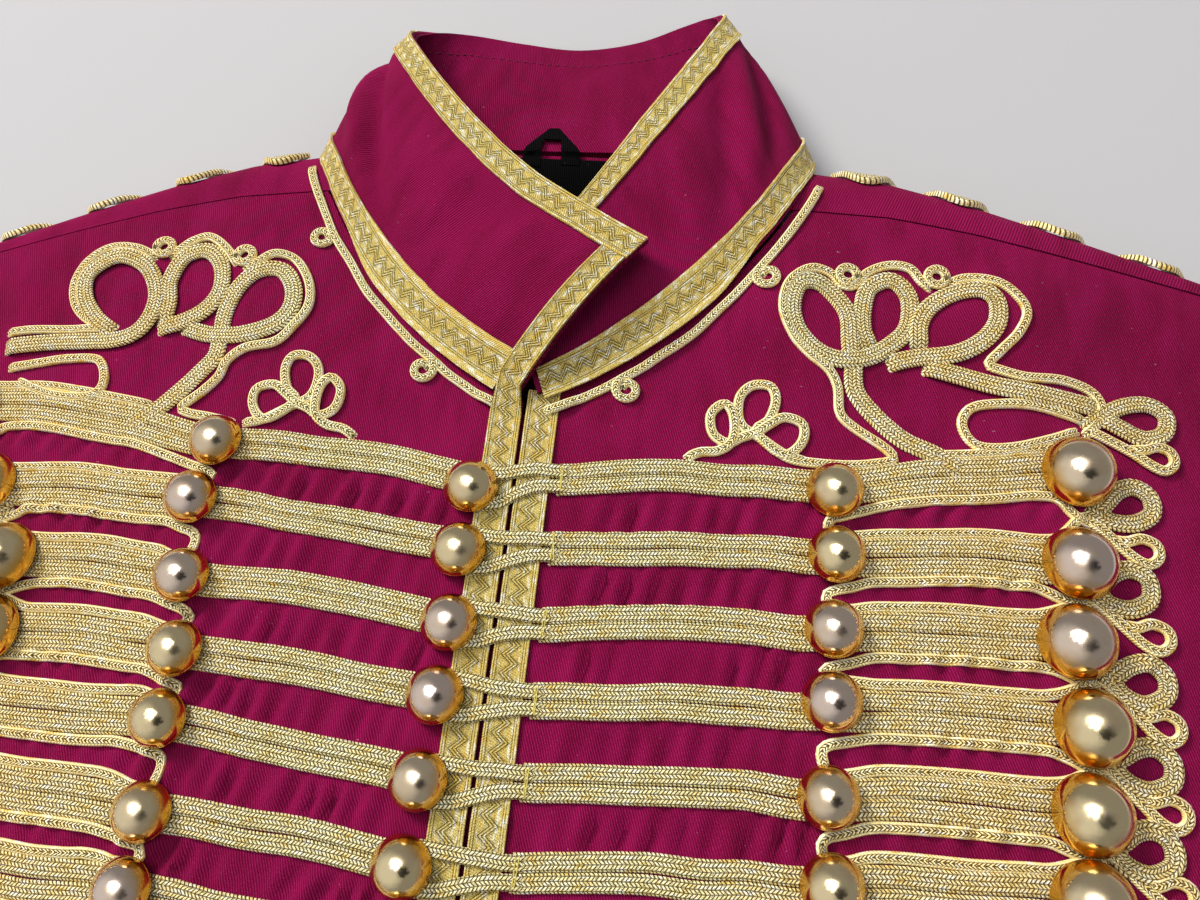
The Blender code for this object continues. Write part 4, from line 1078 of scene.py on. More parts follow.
def even_path(rows, step, closed=False):
    """Points at even distances along a smooth curve through a table's rows."""
    rows = [tuple(float(v) for v in row) for row in rows]
    if closed:
        count = len(rows)
        table = [rows[-2], rows[-1]] + rows + rows[:3]
        span = (2.0, 2.0 + count)
    else:
        table = rows
        span = (0.0, len(rows) - 1.0)
    fine = []
    total = int((span[1] - span[0]) * 14)
    for i in range(total + 1):
        fine.append(through(table, lerp(span[0], span[1], i / total)))
    run = [0.0]
    for a, b in zip(fine, fine[1:]):
        run.append(run[-1] + math.hypot(b[0] - a[0], b[1] - a[1]))
    count = max(2, int(round(run[-1] / step)))
    path = []
    index = 0
    for i in range(count if closed else count + 1):
        goal = run[-1] * i / count
        while index < len(run) - 2 and run[index + 1] < goal:
            index += 1
        length = run[index + 1] - run[index]
        share = (goal - run[index]) / length if length > 0.0 else 0.0
        path.append([lerp(a, b, share) for a, b in zip(fine[index], fine[index + 1])])
    return path


TUCK_LENGTH = 3.0
TUCK_DEPTH = 1.9


def tucked(path):
    """Lowers both ends of a path, where the braid is drawn through the cloth or under another."""
    points = [[p[0], p[1], p[2] if len(p) > 2 else 0.0] for p in path]
    for order in (1, -1):
        run = 0.0
        line = points[::order]
        for before, point in zip([line[0]] + line, line):
            run += math.hypot(point[0] - before[0], point[1] - before[1])
            if run > TUCK_LENGTH:
                break
            point[2] -= TUCK_DEPTH * (1.0 - smooth(run / TUCK_LENGTH))
    return points


def close_section(piece, rings, coords, closed):
    """Joins rings of points into a strap, with its ends closed."""
    size = len(rings[0])
    points = [p for ring in rings for p in ring]
    faces = []
    count = len(rings)
    spans = count if closed else count - 1
    for i in range(spans):
        here = i * size
        there = (i + 1) % count * size
        for k in range(size):
            following = (k + 1) % size
            faces.append((here + k, here + following, there + following, there + k))
    if not closed:
        faces.append(tuple(range(size))[::-1])
        faces.append(tuple((count - 1) * size + k for k in range(size)))
    piece.add(points, faces, coords)


def add_strap(piece, path, width, thick, section=BRAID_SECTION, lift=0.15, closed=False,
              ends_down=True):
    """A braid laid on the cloth along plan points; their third value raises it over another."""
    rings = []
    coords = []
    run = 0.0
    last = len(path) - 1
    if ends_down and not closed:
        path = tucked(path)
    for i, point in enumerate(path):
        before = path[i - 1] if (i or closed) else point
        after = path[(i + 1) % len(path)] if (i < last or closed) else point
        tx = after[0] - before[0]
        ty = after[1] - before[1]
        length = math.hypot(tx, ty)
        nx = -ty / length
        ny = tx / length
        if i:
            run += math.hypot(point[0] - path[i - 1][0], point[1] - path[i - 1][1])
        level = point[2] if len(point) > 2 else 0.0
        half = 0.5 * width
        middle = cloth_z(point[0], point[1])
        ring = []
        for a, h in section:
            x = point[0] + nx * a * half
            y = point[1] + ny * a * half
            z = lerp(cloth_z(x, y), middle, 0.5) + lift + level + h * thick
            ring.append(Vector((x, y, z)))
            coords.append((run, a * half))
        for a in (0.97, -0.97):
            x = point[0] + nx * a * half
            y = point[1] + ny * a * half
            ring.append(Vector((x, y, lerp(cloth_z(x, y), middle, 0.5) + lift + level)))
            coords.append((run, a * half))
        rings.append(ring)
    close_section(piece, rings, coords, closed)


def add_cord(piece, path, width=CORD_WIDTH, thick=CORD_THICK, **options):
    """A thin braid laid on the cloth along plan points."""
    add_strap(piece, path, width, thick, CORD_SECTION, **options)


def add_ribbon(piece, stations, thick, lift, section=LACE_SECTION):
    """A woven band along a list of (left, right, normal), raised along the normals."""
    rings = []
    coords = []
    run = 0.0
    before = stations[0]
    for left, right, normal in stations:
        run += (0.5 * (left + right) - 0.5 * (before[0] + before[1])).length
        before = (left, right)
        half = 0.5 * (right - left).length
        ring = []
        for a, h in section:
            ring.append(left.lerp(right, 0.5 + 0.5 * a) + normal * (lift + h * thick))
            coords.append((run, a * half))
        for a in (0.97, -0.97):
            ring.append(left.lerp(right, 0.5 + 0.5 * a) + normal * lift)
            coords.append((run, a * half))
        rings.append(ring)
    close_section(piece, rings, coords, False)


# Unevenness of the hand-sewn buttons near the top: side, column, row, and how far each one is off
BUTTON_SHIFTS = (
    # side, column, row, x, y
    (1, "inner", 1, -2.5, -4.0), (1, "inner", 2, -1.0, -1.0), (1, "inner", 3, -1.0, -0.5),
    (1, "inner", 4, -0.5, 2.0), (1, "inner", 5, -0.5, -1.0), (1, "inner", 6, 1.5, -0.5),
    (1, "outer", 1, 1.7, 1.0), (1, "outer", 2, 0.7, 0.0), (1, "outer", 3, -1.0, -0.2),
    (1, "outer", 4, 2.5, -0.8), (1, "outer", 5, 1.0, -0.8),
    (-1, "inner", 1, 1.0, -2.0), (-1, "inner", 2, -3.5, 1.5), (-1, "inner", 3, -0.5, -1.0),
    (-1, "inner", 4, 3.0, -0.5), (-1, "inner", 5, 2.5, 2.0), (-1, "inner", 6, 3.5, -1.0),
    (-1, "inner", 7, 2.5, 1.5), (-1, "outer", 2, -8.5, -1.0), (-1, "outer", 3, 7.5, -2.0),
    (-1, "outer", 4, 8.5, -2.0), (-1, "outer", 1, -26.0, 0.0),
    (-1, "centre", 1, 2.5, -3.5), (-1, "centre", 2, 1.5, -1.0), (-1, "centre", 3, 2.0, -0.5),
    (-1, "centre", 4, 1.0, 1.0), (-1, "centre", 6, -1.0, 0.0),
)


def button_place(side, column, number):
    """Middle of a button in plan, with its small unevenness."""
    if column == "centre":
        across = abs(CENTRE_BUTTON_X)
    else:
        across = INNER_COLUMN_X if column == "inner" else OUTER_COLUMN_X
        across -= COLUMN_TAPER * (number - 1)
    x = side * across
    y = row_y(number, across)
    for row in BUTTON_SHIFTS:
        if row[:3] == (side, column, number):
            return x + row[3], y + row[4]
    return x, y


# How the rows arch between the button columns, by side
ARCHES = {
    # x, rise
    1: ((0.0, 1.6), (25.0, 2.2), (50.0, 2.3), (75.0, 0.8), (97.0, -1.2), (125.0, 0.0), (230.0, 0.0)),
    -1: ((0.0, 1.0), (20.0, 1.0), (50.0, 1.7), (80.0, 0.8), (100.0, 0.0), (150.0, 0.0), (230.0, 0.0)),
}
# How closely a row follows its unevenly sewn buttons, by side and column
FOLLOWS = {(1, "inner"): 0.3, (1, "outer"): 1.0, (-1, "centre"): 0.25, (-1, "inner"): 1.0,
           (-1, "outer"): 1.0}


def bend(side, number, x):
    """How far a row's line is off the straight one, from its arch and its buttons."""
    across = abs(x)
    rise = 0.0
    for before, after in zip(ARCHES[side], ARCHES[side][1:]):
        if before[0] <= across <= after[0]:
            rise = lerp(before[1], after[1], smooth((across - before[0]) / (after[0] - before[0])))
    for column in ("centre", "inner", "outer"):
        follow = FOLLOWS.get((side, column), 0.0)
        bx, by = button_place(side, column, number)
        near = 1.0 - smooth(abs(across - abs(bx)) / 32.0)
        rise += follow * near * (by - row_y(number, bx))
    return rise


def strand_y(side, number, x, offset):
    """A strand of braid in a row, with the slight wander of hand sewing."""
    wander = wobble(x / 27.0, number * 3.7, 1.0) * 0.9
    wander += wobble(x / 24.0, number * 3.7, offset) * 0.4
    near = abs(CENTRE_BUTTON_X) if side > 0 else 0.0
    return row_y(number, max(abs(x), near)) + bend(side, number, x) + offset + wander


# Loop of wide braid between two outer buttons, from the lower one
BIG_LOOP = (
    # x, y, level
    (4.0, 19.5, 0.0),
    (7.5, 17.3, 0.2),
    (12.0, 14.5, 0.5),
    (19.0, 14.0, 0.6),
    (25.2, 17.4, 0.6),
    (25.4, 23.2, 0.6),
    (20.5, 26.3, 0.6),
    (15.0, 24.6, 0.7),
    (11.0, 20.6, 0.9),
    (7.0, 16.5, 1.0),
)
# Loop of wide braid beside the top outer button
TOP_LOOP = (
    # x, y, level
    (3.0, 15.0, 0.0),
    (9.0, 20.6, 0.2),
    (16.0, 25.5, 0.4),
    (24.0, 27.5, 0.5),
    (29.6, 24.3, 0.5),
    (28.4, 18.0, 0.5),
    (22.0, 15.2, 0.6),
    (14.5, 17.8, 0.9),
    (8.5, 20.5, 1.0),
)
# Loop of thin braid above an outer button
SMALL_LOOP = (
    # x, y, level
    (3.6, 15.4, 0.3),
    (8.6, 11.4, 0.5),
    (13.2, 7.0, 0.5),
    (18.4, 2.6, 0.5),
    (22.8, 1.2, 0.5),
    (26.0, 3.8, 0.5),
    (25.4, 7.6, 0.5),
    (21.0, 9.2, 0.6),
    (16.4, 7.6, 0.9),
    (13.4, 8.4, 1.0),
)


def crossing_level(x):
    """Braid steps up over the lace along the front edge."""
    clear = smooth((abs(x) - FRONT_GAP / 2.0 - LACE_WIDTH - 1.0) / 6.0)
    return 1.15 * (1.0 - clear)


def row_path(side, number, start, end, offset):
    """Plan points of one braid of a row, about 2.2 mm apart."""
    count = max(3, int(abs(end - start) / 2.2))
    path = []
    for i in range(count + 1):
        x = lerp(start, end, i / count)
        path.append((side * x, strand_y(side, number, x, offset), crossing_level(x)))
    return path


# How far a row's wide and thin loops lie off their tables
LOOP_SHIFTS = (
    # wide_x, wide_y, thin_x, thin_y
    (0.0, 0.0, 6.0, 2.0),
    (0.0, 0.0, 0.0, 2.0),
    (-1.5, -3.3, 2.0, -1.5),
    (-2.5, -6.0, 1.5, -2.0),
    (-1.5, -4.8, 2.0, -2.0),
)


def placed_loop(side, number, table, shift, seed):
    """A loop's table moved to a row's outer button, each one a little uneven."""
    x, y = button_place(side, "outer", number)
    lean = 0.12 * wobble(number * 2.3, seed, side * 1.5)
    size = 1.0 + 0.08 * wobble(number * 1.7, seed, 8.0)
    path = []
    for px, py, level in table:
        share = smooth(px / 18.0)
        out = size * (px - lean * (py - 15.0)) + shift[0] * share
        up = size * (py - 15.0 + lean * px) + 15.0 + shift[1] * share
        path.append((x + side * out, y + up, level))
    return path


def add_end_cord(cords, side, number, places, away):
    """The thin braid beyond the first or the last row, which has no row beside it."""
    route = [(side * x, strand_y(side, number, x, away)) for x in places]
    add_cord(cords, even_path(route, 2.0))


def make_frog(side, number, word):
    """One row on one side: its braids, the loops at its outer button and the thin braid."""
    node = "frog_%s_%02d" % (word, number)
    piece = Piece(node)
    cords = Piece("cord_%s_%02d" % (word, number))
    inner_x = abs(button_place(side, "inner", number)[0])
    outer_x = abs(button_place(side, "outer", number)[0])
    centre = button_place(-1, "centre", number)
    for sign in (1, -1):
        start = abs(centre[0]) - 2.0
        if side > 0:
            start = LOOP_TACK_X - 1.5
            split = even_path(split_route(number, centre, sign), 1.6)
            add_strap(piece, split, SPLIT_STRAP_WIDTH, STRAP_THICK)
        route = row_path(side, number, start, inner_x + 1.0, 2.8 * sign)
        add_strap(piece, even_path(route, 2.0), INNER_STRAP_WIDTH, STRAP_THICK)
    for offset in (3.05, -3.05):
        route = row_path(side, number, inner_x - 1.0, outer_x + 1.0, offset)
        add_strap(piece, route, OUTER_STRAP_WIDTH, STRAP_THICK)
    shift = LOOP_SHIFTS[min(number, len(LOOP_SHIFTS)) - 1]
    wide = placed_loop(side, number, TOP_LOOP if number == 1 else BIG_LOOP, shift[:2], 5.1)
    add_strap(piece, even_path(wide, 1.3), LOOP_STRAP_WIDTH, LOOP_STRAP_THICK)
    thin = placed_loop(side, number, SMALL_LOOP, shift[2:], 9.7)
    add_cord(cords, even_path(thin, 1.2), 3.5)
    if number == 1:
        add_end_cord(cords, side, number, np.linspace(inner_x + 28.0, outer_x, 12), CORD_AWAY)
    if number < ROW_COUNT:
        add_cord(cords, even_path(link_route(side, number), 1.6), lift=0.2)
    else:
        add_end_cord(cords, side, number, np.linspace(inner_x, outer_x, 14), -CORD_AWAY)
    piece.make(BRAID, [node])
    cords.make(CORD, [node])


# How a left row's strands part at the tack and close again behind the centre button
SPLIT = (
    # x, half_apart, level
    (-21.5, 0.9, 0.3),
    (-21.0, 3.4, 0.7),
    (-17.5, 5.2, 1.1),
    (-11.0, 5.5, 1.2),
    (-5.5, 5.0, 1.2),
    (0.0, 3.9, 1.2),
    (6.0, 3.05, 1.2),
    (11.0, 2.6, 1.1),
    (17.0, 2.6, 0.3),
    (20.0, 2.7, -0.3),
)


def split_route(number, button, sign):
    route = []
    for x, apart, level in SPLIT:
        share = smooth((8.0 - x) / 16.0)
        middle = lerp(strand_y(1, number, abs(x), 0.0), button[1], share)
        shift = (button[0] - CENTRE_BUTTON_X) * smooth(-x / 14.0)
        route.append((x + shift, middle + sign * apart, level))
    return route


def link_route(side, number):
    """The thin braid under one row, round between the inner buttons and back above the next row."""
    inner = [button_place(side, "inner", n) for n in (number, number + 1)]
    outer = [button_place(side, "outer", n) for n in (number, number + 1)]
    in_x = 0.5 * (abs(inner[0][0]) + abs(inner[1][0]))
    out_x = 0.5 * (abs(outer[0][0]) + abs(outer[1][0]))
    in_mid = 0.5 * (inner[0][1] + inner[1][1])
    out_mid = 0.5 * (outer[0][1] + outer[1][1])
    alongs = (5.5, 11.0, 17.0, 24.0, 32.0, 42.0, 52.0, 60.0)
    route = [(out_x + 6.0, out_mid - 1.5), (out_x + 1.0, out_mid)]
    for along in alongs:
        x = out_x - along
        if x > in_x + 9.0:
            dip = 2.6 * (1.0 - smooth((along - 1.0) / 12.0))
            route.append((x, strand_y(side, number, x, -CORD_AWAY - dip)))
    first = max(inner[0][1] - 11.2, strand_y(side, number, in_x + 6.0, -CORD_AWAY - 2.0))
    route += [(in_x + 4.0, first), (in_x - 0.8, first - 1.4), (in_x - 2.4, in_mid - 1.6),
              (in_x - 0.5, inner[1][1] + 6.6), (in_x + 4.5, inner[1][1] + 6.6)]
    for along in alongs[::-1]:
        x = out_x - along
        if x > in_x + 9.0:
            dip = 2.2 * (1.0 - smooth((along - 1.0) / 12.0))
            route.append((x, strand_y(side, number + 1, x, CORD_AWAY + dip)))
    route += [(out_x + 1.0, out_mid), (out_x + 6.0, out_mid + 1.5)]
    return [(side * x, y) for x, y in route]


# Ornament over the first row, each braid as a line of plan points, x away from the centre
LEFT_STRAP = (
    # x, y
    (144, -24), (135, -18), (124, -13), (116, -6), (109, 3), (108, 12), (107, 20), (106, 31), (101, 39),
    (95, 43), (89, 41), (87, 32), (90, 23), (97, 16), (105, 14), (113, 16), (120, 21),
    (126, 28), (127, 38), (124, 44), (119, 46), (113, 42), (111, 34), (111, 26), (114, 19),
)
LEFT_LOOP = (
    # x, y
    (119, 14), (128, 17), (141, 19), (150, 24), (155, 31), (155, 39), (150, 43), (142, 42),
    (134, 37), (130, 30), (130, 21),
)
LEFT_BAND = (
    # x, y
    (131, 14), (143, 11), (155, 8), (168, 6), (181, 4), (187, 3),
)
LEFT_INNER_LINE = (
    # x, y
    (81, -18), (88, -22), (96, -23), (106, -23), (114, -22), (121, -20), (118, -16), (109, -10),
    (104, -5), (103, 4), (100, 10), (94, 15), (88, 22), (84, 32), (86, 42), (93, 48),
    (100, 47), (104, 43), (108, 43), (113, 49), (120, 52), (127, 51), (131, 46), (135, 43),
)
LEFT_OUTER_LINE = (
    # x, y
    (139, 45), (145, 48), (154, 47), (161, 43), (165, 36), (162, 28), (156, 21), (152, 16),
    (156, 14), (164, 12), (176, 12), (185, 9), (188, 3), (185, -3), (181, -7),
)
LEFT_HAIRPIN = (
    # x, y
    (183, -2), (167, 2), (154, 2), (146, 0), (143, -6), (147, -13), (158, -13), (171, -9),
    (180, -5),
)
LEFT_EYELETS = ((106, 47), (136, 48))
RIGHT_STRAP = (
    # x, y
    (139, -28), (131, -21), (124, -13), (117, -4), (113, 2), (113, 10), (113, 19), (110, 29), (104, 36),
    (96, 37), (90, 30), (89, 21), (94, 14), (105, 10), (117, 10), (129, 13),
)
RIGHT_LOOP = (
    # x, y
    (138, 11), (128, 15), (120, 21), (117, 29), (120, 39), (127, 44), (135, 41), (138, 31),
    (136, 22), (136, 14),
)
RIGHT_BAND = (
    # x, y
    (154, 9), (162, 14), (169, 22), (171, 31), (166, 37), (158, 40), (148, 36), (142, 27),
    (141, 18), (144, 10), (151, 6), (163, 5), (178, 4), (195, 1),
)
RIGHT_INNER_LINE = (
    # x, y
    (100, -23), (110, -21), (118, -20), (121, -18), (115, -12), (110, -6), (108, 0), (102, 5),
    (92, 8), (87, 14), (83, 23), (85, 33), (92, 42), (100, 44), (106, 39), (111, 36),
)
RIGHT_MIDDLE_LINE = (
    # x, y
    (113, 38), (119, 45), (127, 50), (134, 48), (138, 44), (141, 40),
)
RIGHT_OUTER_LINE = (
    # x, y
    (145, 40), (154, 44), (165, 44), (173, 38), (176, 29), (173, 20), (166, 14), (157, 11),
    (169, 10), (185, 9), (197, 7),
)
RIGHT_HAIRPIN = (
    # x, y
    (192, -7), (179, -4), (168, -2), (157, -2), (152, -8), (152, -14), (158, -17), (172, -16),
    (187, -11),
)
RIGHT_EYELETS = ((111, 42), (144, 45))
EYELET_R = 3.1
# Small three-looped knot at the neck, the same on both sides but for its shift
SMALL_KNOT = (
    # x, y
    (98, -23), (90, -21), (82, -16), (75, -11), (74, -2), (78, 3), (84, 3), (86, -2),
    (84, -9), (80, -13), (84, -18), (90, -21), (95, -16), (95, -10), (89, -8), (84, -11),
    (80, -14), (75, -16), (71, -18), (66, -15), (65, -8), (69, -4), (72, -7), (73, -13),
    (72, -18), (68, -21), (62, -22), (57, -25),
)
SMALL_KNOT_SHIFTS = {1: -3.0, -1: 0.0}


def over_under(path, rise=0.5):
    """Braid that crosses itself passes over what was sewn down before it."""
    raised = [[p[0], p[1], p[2] if len(p) > 2 else 0.0] for p in path]
    for i, point in enumerate(raised):
        for other in raised[:max(0, i - 8)]:
            apart = math.hypot(point[0] - other[0], point[1] - other[1])
            point[2] = max(point[2], rise * (1.0 - smooth((apart - 2.0) / 4.0)))
    return raised


def laid(table, side, level=0.0, step=1.6):
    """A table's braid as even points on its side."""
    return over_under(even_path([(side * x, y, level) for x, y in table], step))


def make_knot(side, word):
    if side > 0:
        straps = (LEFT_STRAP, LEFT_LOOP, LEFT_BAND)
        lines = (LEFT_INNER_LINE, LEFT_OUTER_LINE, LEFT_HAIRPIN)
        eyelets = LEFT_EYELETS
    else:
        straps = (RIGHT_STRAP, RIGHT_LOOP, RIGHT_BAND)
        lines = (RIGHT_INNER_LINE, RIGHT_MIDDLE_LINE, RIGHT_OUTER_LINE, RIGHT_HAIRPIN)
        eyelets = RIGHT_EYELETS
    piece = Piece("shoulder_knot_" + word)
    for k, table in enumerate(straps):
        add_strap(piece, laid(table, side, 0.35 * k), KNOT_STRAP_WIDTH, KNOT_STRAP_THICK)
    cords = Piece("shoulder_cord_" + word)
    for table in lines:
        add_cord(cords, laid(table, side, 0.1), thick=KNOT_CORD_THICK)
    for x, y in eyelets:
        ring = [(side * (x + EYELET_R * math.cos(t)), y + EYELET_R * math.sin(t), 0.45)
                for t in np.linspace(0.0, 2.0 * math.pi, 9)[:-1]]
        add_cord(cords, even_path(ring, 1.2, closed=True), 3.2, KNOT_CORD_THICK, closed=True)
    piece.make(BRAID, ["shoulder_knot_" + word])
    cords.make(CORD, ["shoulder_knot_" + word])

    piece = Piece("small_knot_" + word)
    shift = SMALL_KNOT_SHIFTS[side]
    table = [(x + shift, y) for x, y in SMALL_KNOT]
    add_cord(piece, laid(table, side, 0.15, 1.4), thick=KNOT_CORD_THICK)
    piece.make(CORD, ["small_knot_" + word])


# ---------------------------------------------------------------- neck and shoulder braids

# Curls in the braid round the neck, as places along x
NECK_CURLS = {1: (27.5, 71.0), -1: (31.5, 77.5)}


def neck_offset(x, away):
    """A point outside the neckline, square to it."""
    dx = 0.5
    slope = (neck_y(x + dx) - neck_y(x - dx)) / (2.0 * dx)
    length = math.hypot(1.0, slope)
    return x + slope / length * away, neck_y(x) - away / length


def neck_braid_away(x):
    """The neck braid's distance from the neckline, less towards the shoulder."""
    return lerp(6.0, 4.3, smooth((x - 50.0) / 35.0))


def make_neck_braid(side, word):
    piece = Piece("neck_braid_" + word)
    route = []
    for x in np.linspace(4.0 if side > 0 else 7.0, 92.0, 44):
        wander = 0.5 * wobble(x / 9.0, side * 3.0, 1.0)
        px, py = neck_offset(x, neck_braid_away(x) + wander)
        over_lace = 1.3 * (1.0 - smooth((x - 11.0) / 5.0))
        route.append((side * px, py, 0.2 + over_lace))
    add_cord(piece, even_path(route, 1.6), 3.3, NECK_CORD_THICK)
    for x in NECK_CURLS[side]:
        cx, cy = neck_offset(x, neck_braid_away(x) + 4.4)
        toward = math.atan2(neck_y(x) - cy, (x - cx))
        curl = []
        for i in range(15):
            turn = toward - 0.7 + 1.75 * math.pi * 2.0 * i / 14.0 * 0.75
            radius = lerp(4.3, 1.5, (i / 14.0) ** 1.3)
            curl.append((side * (cx + radius * math.cos(turn)), cy + radius * math.sin(turn),
                         0.5 - 0.3 * i / 14.0))
        add_cord(piece, even_path(curl, 1.1), 3.0, NECK_CORD_THICK)
    piece.make(CORD, ["neck_braid_" + word])


# Middle and reach, in rows of the roll's table, and pitch of the braid waved along the shoulder
SHOULDER_WAVE = 2.45
SHOULDER_WAVE_REACH = 0.9
SHOULDER_WAVE_PITCH = 33.5


def make_shoulder_braid(side, word):
    """Wide braid waved along the rolled shoulder so that its crests show over the fold."""
    piece = Piece("shoulder_braid_" + word)
    start = 113.0 if side > 0 else 110.0
    stations = []

    def place_at(x):
        turn = 2.0 * math.pi * (x - start) / SHOULDER_WAVE_PITCH
        return SHOULDER_WAVE + SHOULDER_WAVE_REACH * math.cos(turn)

    def wave(x):
        return on_roll(side, x, place_at(x))

    count = 130
    for i in range(count + 1):
        x = lerp(103.0, 228.0, i / count)
        normal = roll_normal(side, x, place_at(x))
        across = (wave(x + 0.5) - wave(x - 0.5)).cross(normal).normalized() * 2.7
        stations.append((wave(x) + across, wave(x) - across, normal))
    add_ribbon(piece, stations, 2.2, 0.5, BRAID_SECTION)
    piece.make(BRAID, ["shoulder_braid_" + word])


# ---------------------------------------------------------------- laces

def lace_run(points, step):
    """Stations at even distances along a list of (left, right, normal)."""
    out = [points[0]]
    for before, after in zip(points, points[1:]):
        span = (0.5 * (after[0] + after[1]) - 0.5 * (before[0] + before[1])).length
        count = max(1, int(round(span / step)))
        for k in range(1, count + 1):
            t = k / count
            out.append(tuple(a.lerp(b, t) for a, b in zip(before, after)))
    return out


def make_lace_piece(name, stations):
    piece = Piece(name)
    add_ribbon(piece, stations, LACE_THICK, 0.25)
    piece.make(LACE, [name])


def make_front_lace(side, word):
    """Lace along a front edge; the right one runs on up the collar's end."""
    near = FRONT_GAP / 2.0 - 0.1 if side < 0 else 0.1
    far = near + LACE_WIDTH
    top = NECK_FRONT_Y + (-6.0 if side < 0 else 3.0)
    points = []
    count = 190
    for i in range(count + 1):
        y = lerp(HEM_Y + 1.0, top, i / count)
        wander = 0.35 * wobble(y / 30.0, side * 4.0, 1.0)
        high = max(cloth_z(side * near, y), cloth_z(side * 7.0, y), cloth_z(side * far, y)) + 0.1
        points.append((
            Vector((side * (far + wander), y, high)),
            Vector((side * near, y, high)),
            Vector((0.0, 0.0, 1.0)),
        ))
    if side < 0:
        for rise in [0.04 + 0.79 * k / 30.0 for k in range(31)]:
            points.append((
                collar_point(0.47, rise + 0.02 * (1.0 - rise)),
                collar_point(0.012, rise),
                collar_normal(0.2, rise),
            ))
    points = lace_run(points, 2.2)
    if side > 0:
        points = [(right, left, normal) for left, right, normal in points]
    make_lace_piece("front_edge_lace_" + word, points)


def below_seam(station, away):
    """A point past the collar's lower edge, kept just above the front's cloth."""
    seam = collar_flat(station, 0.0)
    point = seam + (seam - collar_flat(station, 0.12)).normalized() * away
    point.z = max(point.z, cloth_z(point.x, point.y) + 0.3)
    return point


def make_collar_lace(name, first, last, low, high, overhang=0.0):
    """Lace round the collar between two shares of its height; an overhang reaches past the seam."""
    stations = []
    count = int((last - first) * 26)
    for i in range(count + 1):
        station = lerp(first, last, i / count)
        wander = 0.006 * wobble(station * 3.0, low * 9.0, 4.0)
        upper = collar_point(station, high + wander * 0.5)
        lower = collar_point(station, low + wander)
        if overhang:
            front = smooth((60.0 - lower.y) / 25.0)
            lower = lower.lerp(below_seam(station, overhang + 30.0 * wander), front)
        along = collar_flat(min(station + 0.1, LAST_STATION), 0.5)
        along -= collar_flat(max(station - 0.1, 0.0), 0.5)
        stations.append((upper, lower, (upper - lower).cross(along).normalized()))
    make_lace_piece(name, stations)


def inside_height(y):
    """The inner side of the garment at the back of the neck: the back, then the collar facing."""
    if y <= NECK_BACK_Y:
        rise = (y - NECK_RISE_START_Y) / (NECK_BACK_Y - NECK_RISE_START_Y)
        return NECK_BACK_HEIGHT * smooth(rise) + WALL
    foot = NECK_BACK_HEIGHT + COLLAR_WALL + SEAM_GAP + FACING_WALL + 0.3
    return foot - COLLAR_BACK_SLOPE * (y - NECK_BACK_Y - 1.0)



def inner_sheet(name, grid, surface):
    """A thin piece laid on the inner side at the back of the neck, from points in plan."""
    laid_grid = []
    coords = []
    for row in grid:
        line = []
        for x, y, lift in row:
            wave = 0.25 * wobble(x / 9.0, y / 9.0, 21.0)
            line.append(Vector((x, y, inside_height(y) + LABEL_THICK + lift + wave)))
        laid_grid.append(line)
        coords.append([(p.x, p.y) for p in line])
    piece = Piece(name)
    add_wall(piece, laid_grid, coords, LABEL_THICK)
    return piece.make(surface, [name]), laid_grid


def make_label():
    grid = []
    for i in range(25):
        y = lerp(LABEL_LOW_Y, LABEL_TOP_Y, i / 24.0)
        grid.append([(lerp(LABEL_LEFT, LABEL_RIGHT, j / 30.0), y, 0.3) for j in range(31)])
    made, laid_grid = inner_sheet("neck_label", grid, TAPE)


# Edges of the hanger loop from its left foot over its point to its right foot
HANGER_EDGES = (
    # outer_x, outer_y, inner_x, inner_y
    (-18.0, 99.0, -10.8, 99.0),
    (-18.0, 104.0, -10.8, 104.5),
    (-8.6, 115.6, -10.2, 109.8),
    (-4.6, 115.6, -3.2, 110.0),
    (4.8, 104.5, -2.6, 104.5),
    (4.8, 99.0, -2.6, 99.0),
)


def make_hanger_loop():
    """A tape folded to a point over a small window, its feet under the label."""
    grid = []
    steps = 6
    for first, second in zip(HANGER_EDGES, HANGER_EDGES[1:]):
        for k in range(steps):
            edges = [lerp(a, b, k / steps) for a, b in zip(first, second)]
            outer_x, outer_y, inner_x, inner_y = edges
            row = []
            for j in range(steps + 1):
                x = lerp(inner_x, outer_x, j / steps)
                y = lerp(inner_y, outer_y, j / steps)
                row.append((x, y, 0.9 * smooth((y - 101.0) / 6.0)))
            grid.append(row)
    made, laid_grid = inner_sheet("hanger_loop", grid, TAPE)


# ---------------------------------------------------------------- buttons

# Outline of a domed button: share of its radius and share of its height
BUTTON_OUTLINE = (
    (0.0, 1.0), (0.16, 0.988), (0.32, 0.951), (0.47, 0.888), (0.61, 0.798), (0.73, 0.69),
    (0.83, 0.565), (0.91, 0.42), (0.955, 0.3), (0.972, 0.23), (0.98, 0.2), (0.99, 0.185),
    (1.0, 0.15), (0.99, 0.11), (0.95, 0.09), (0.8, 0.07),
)
BUTTON_SIDES = 56
SHANK_R = 2.2
SHANK_SIDES = 12


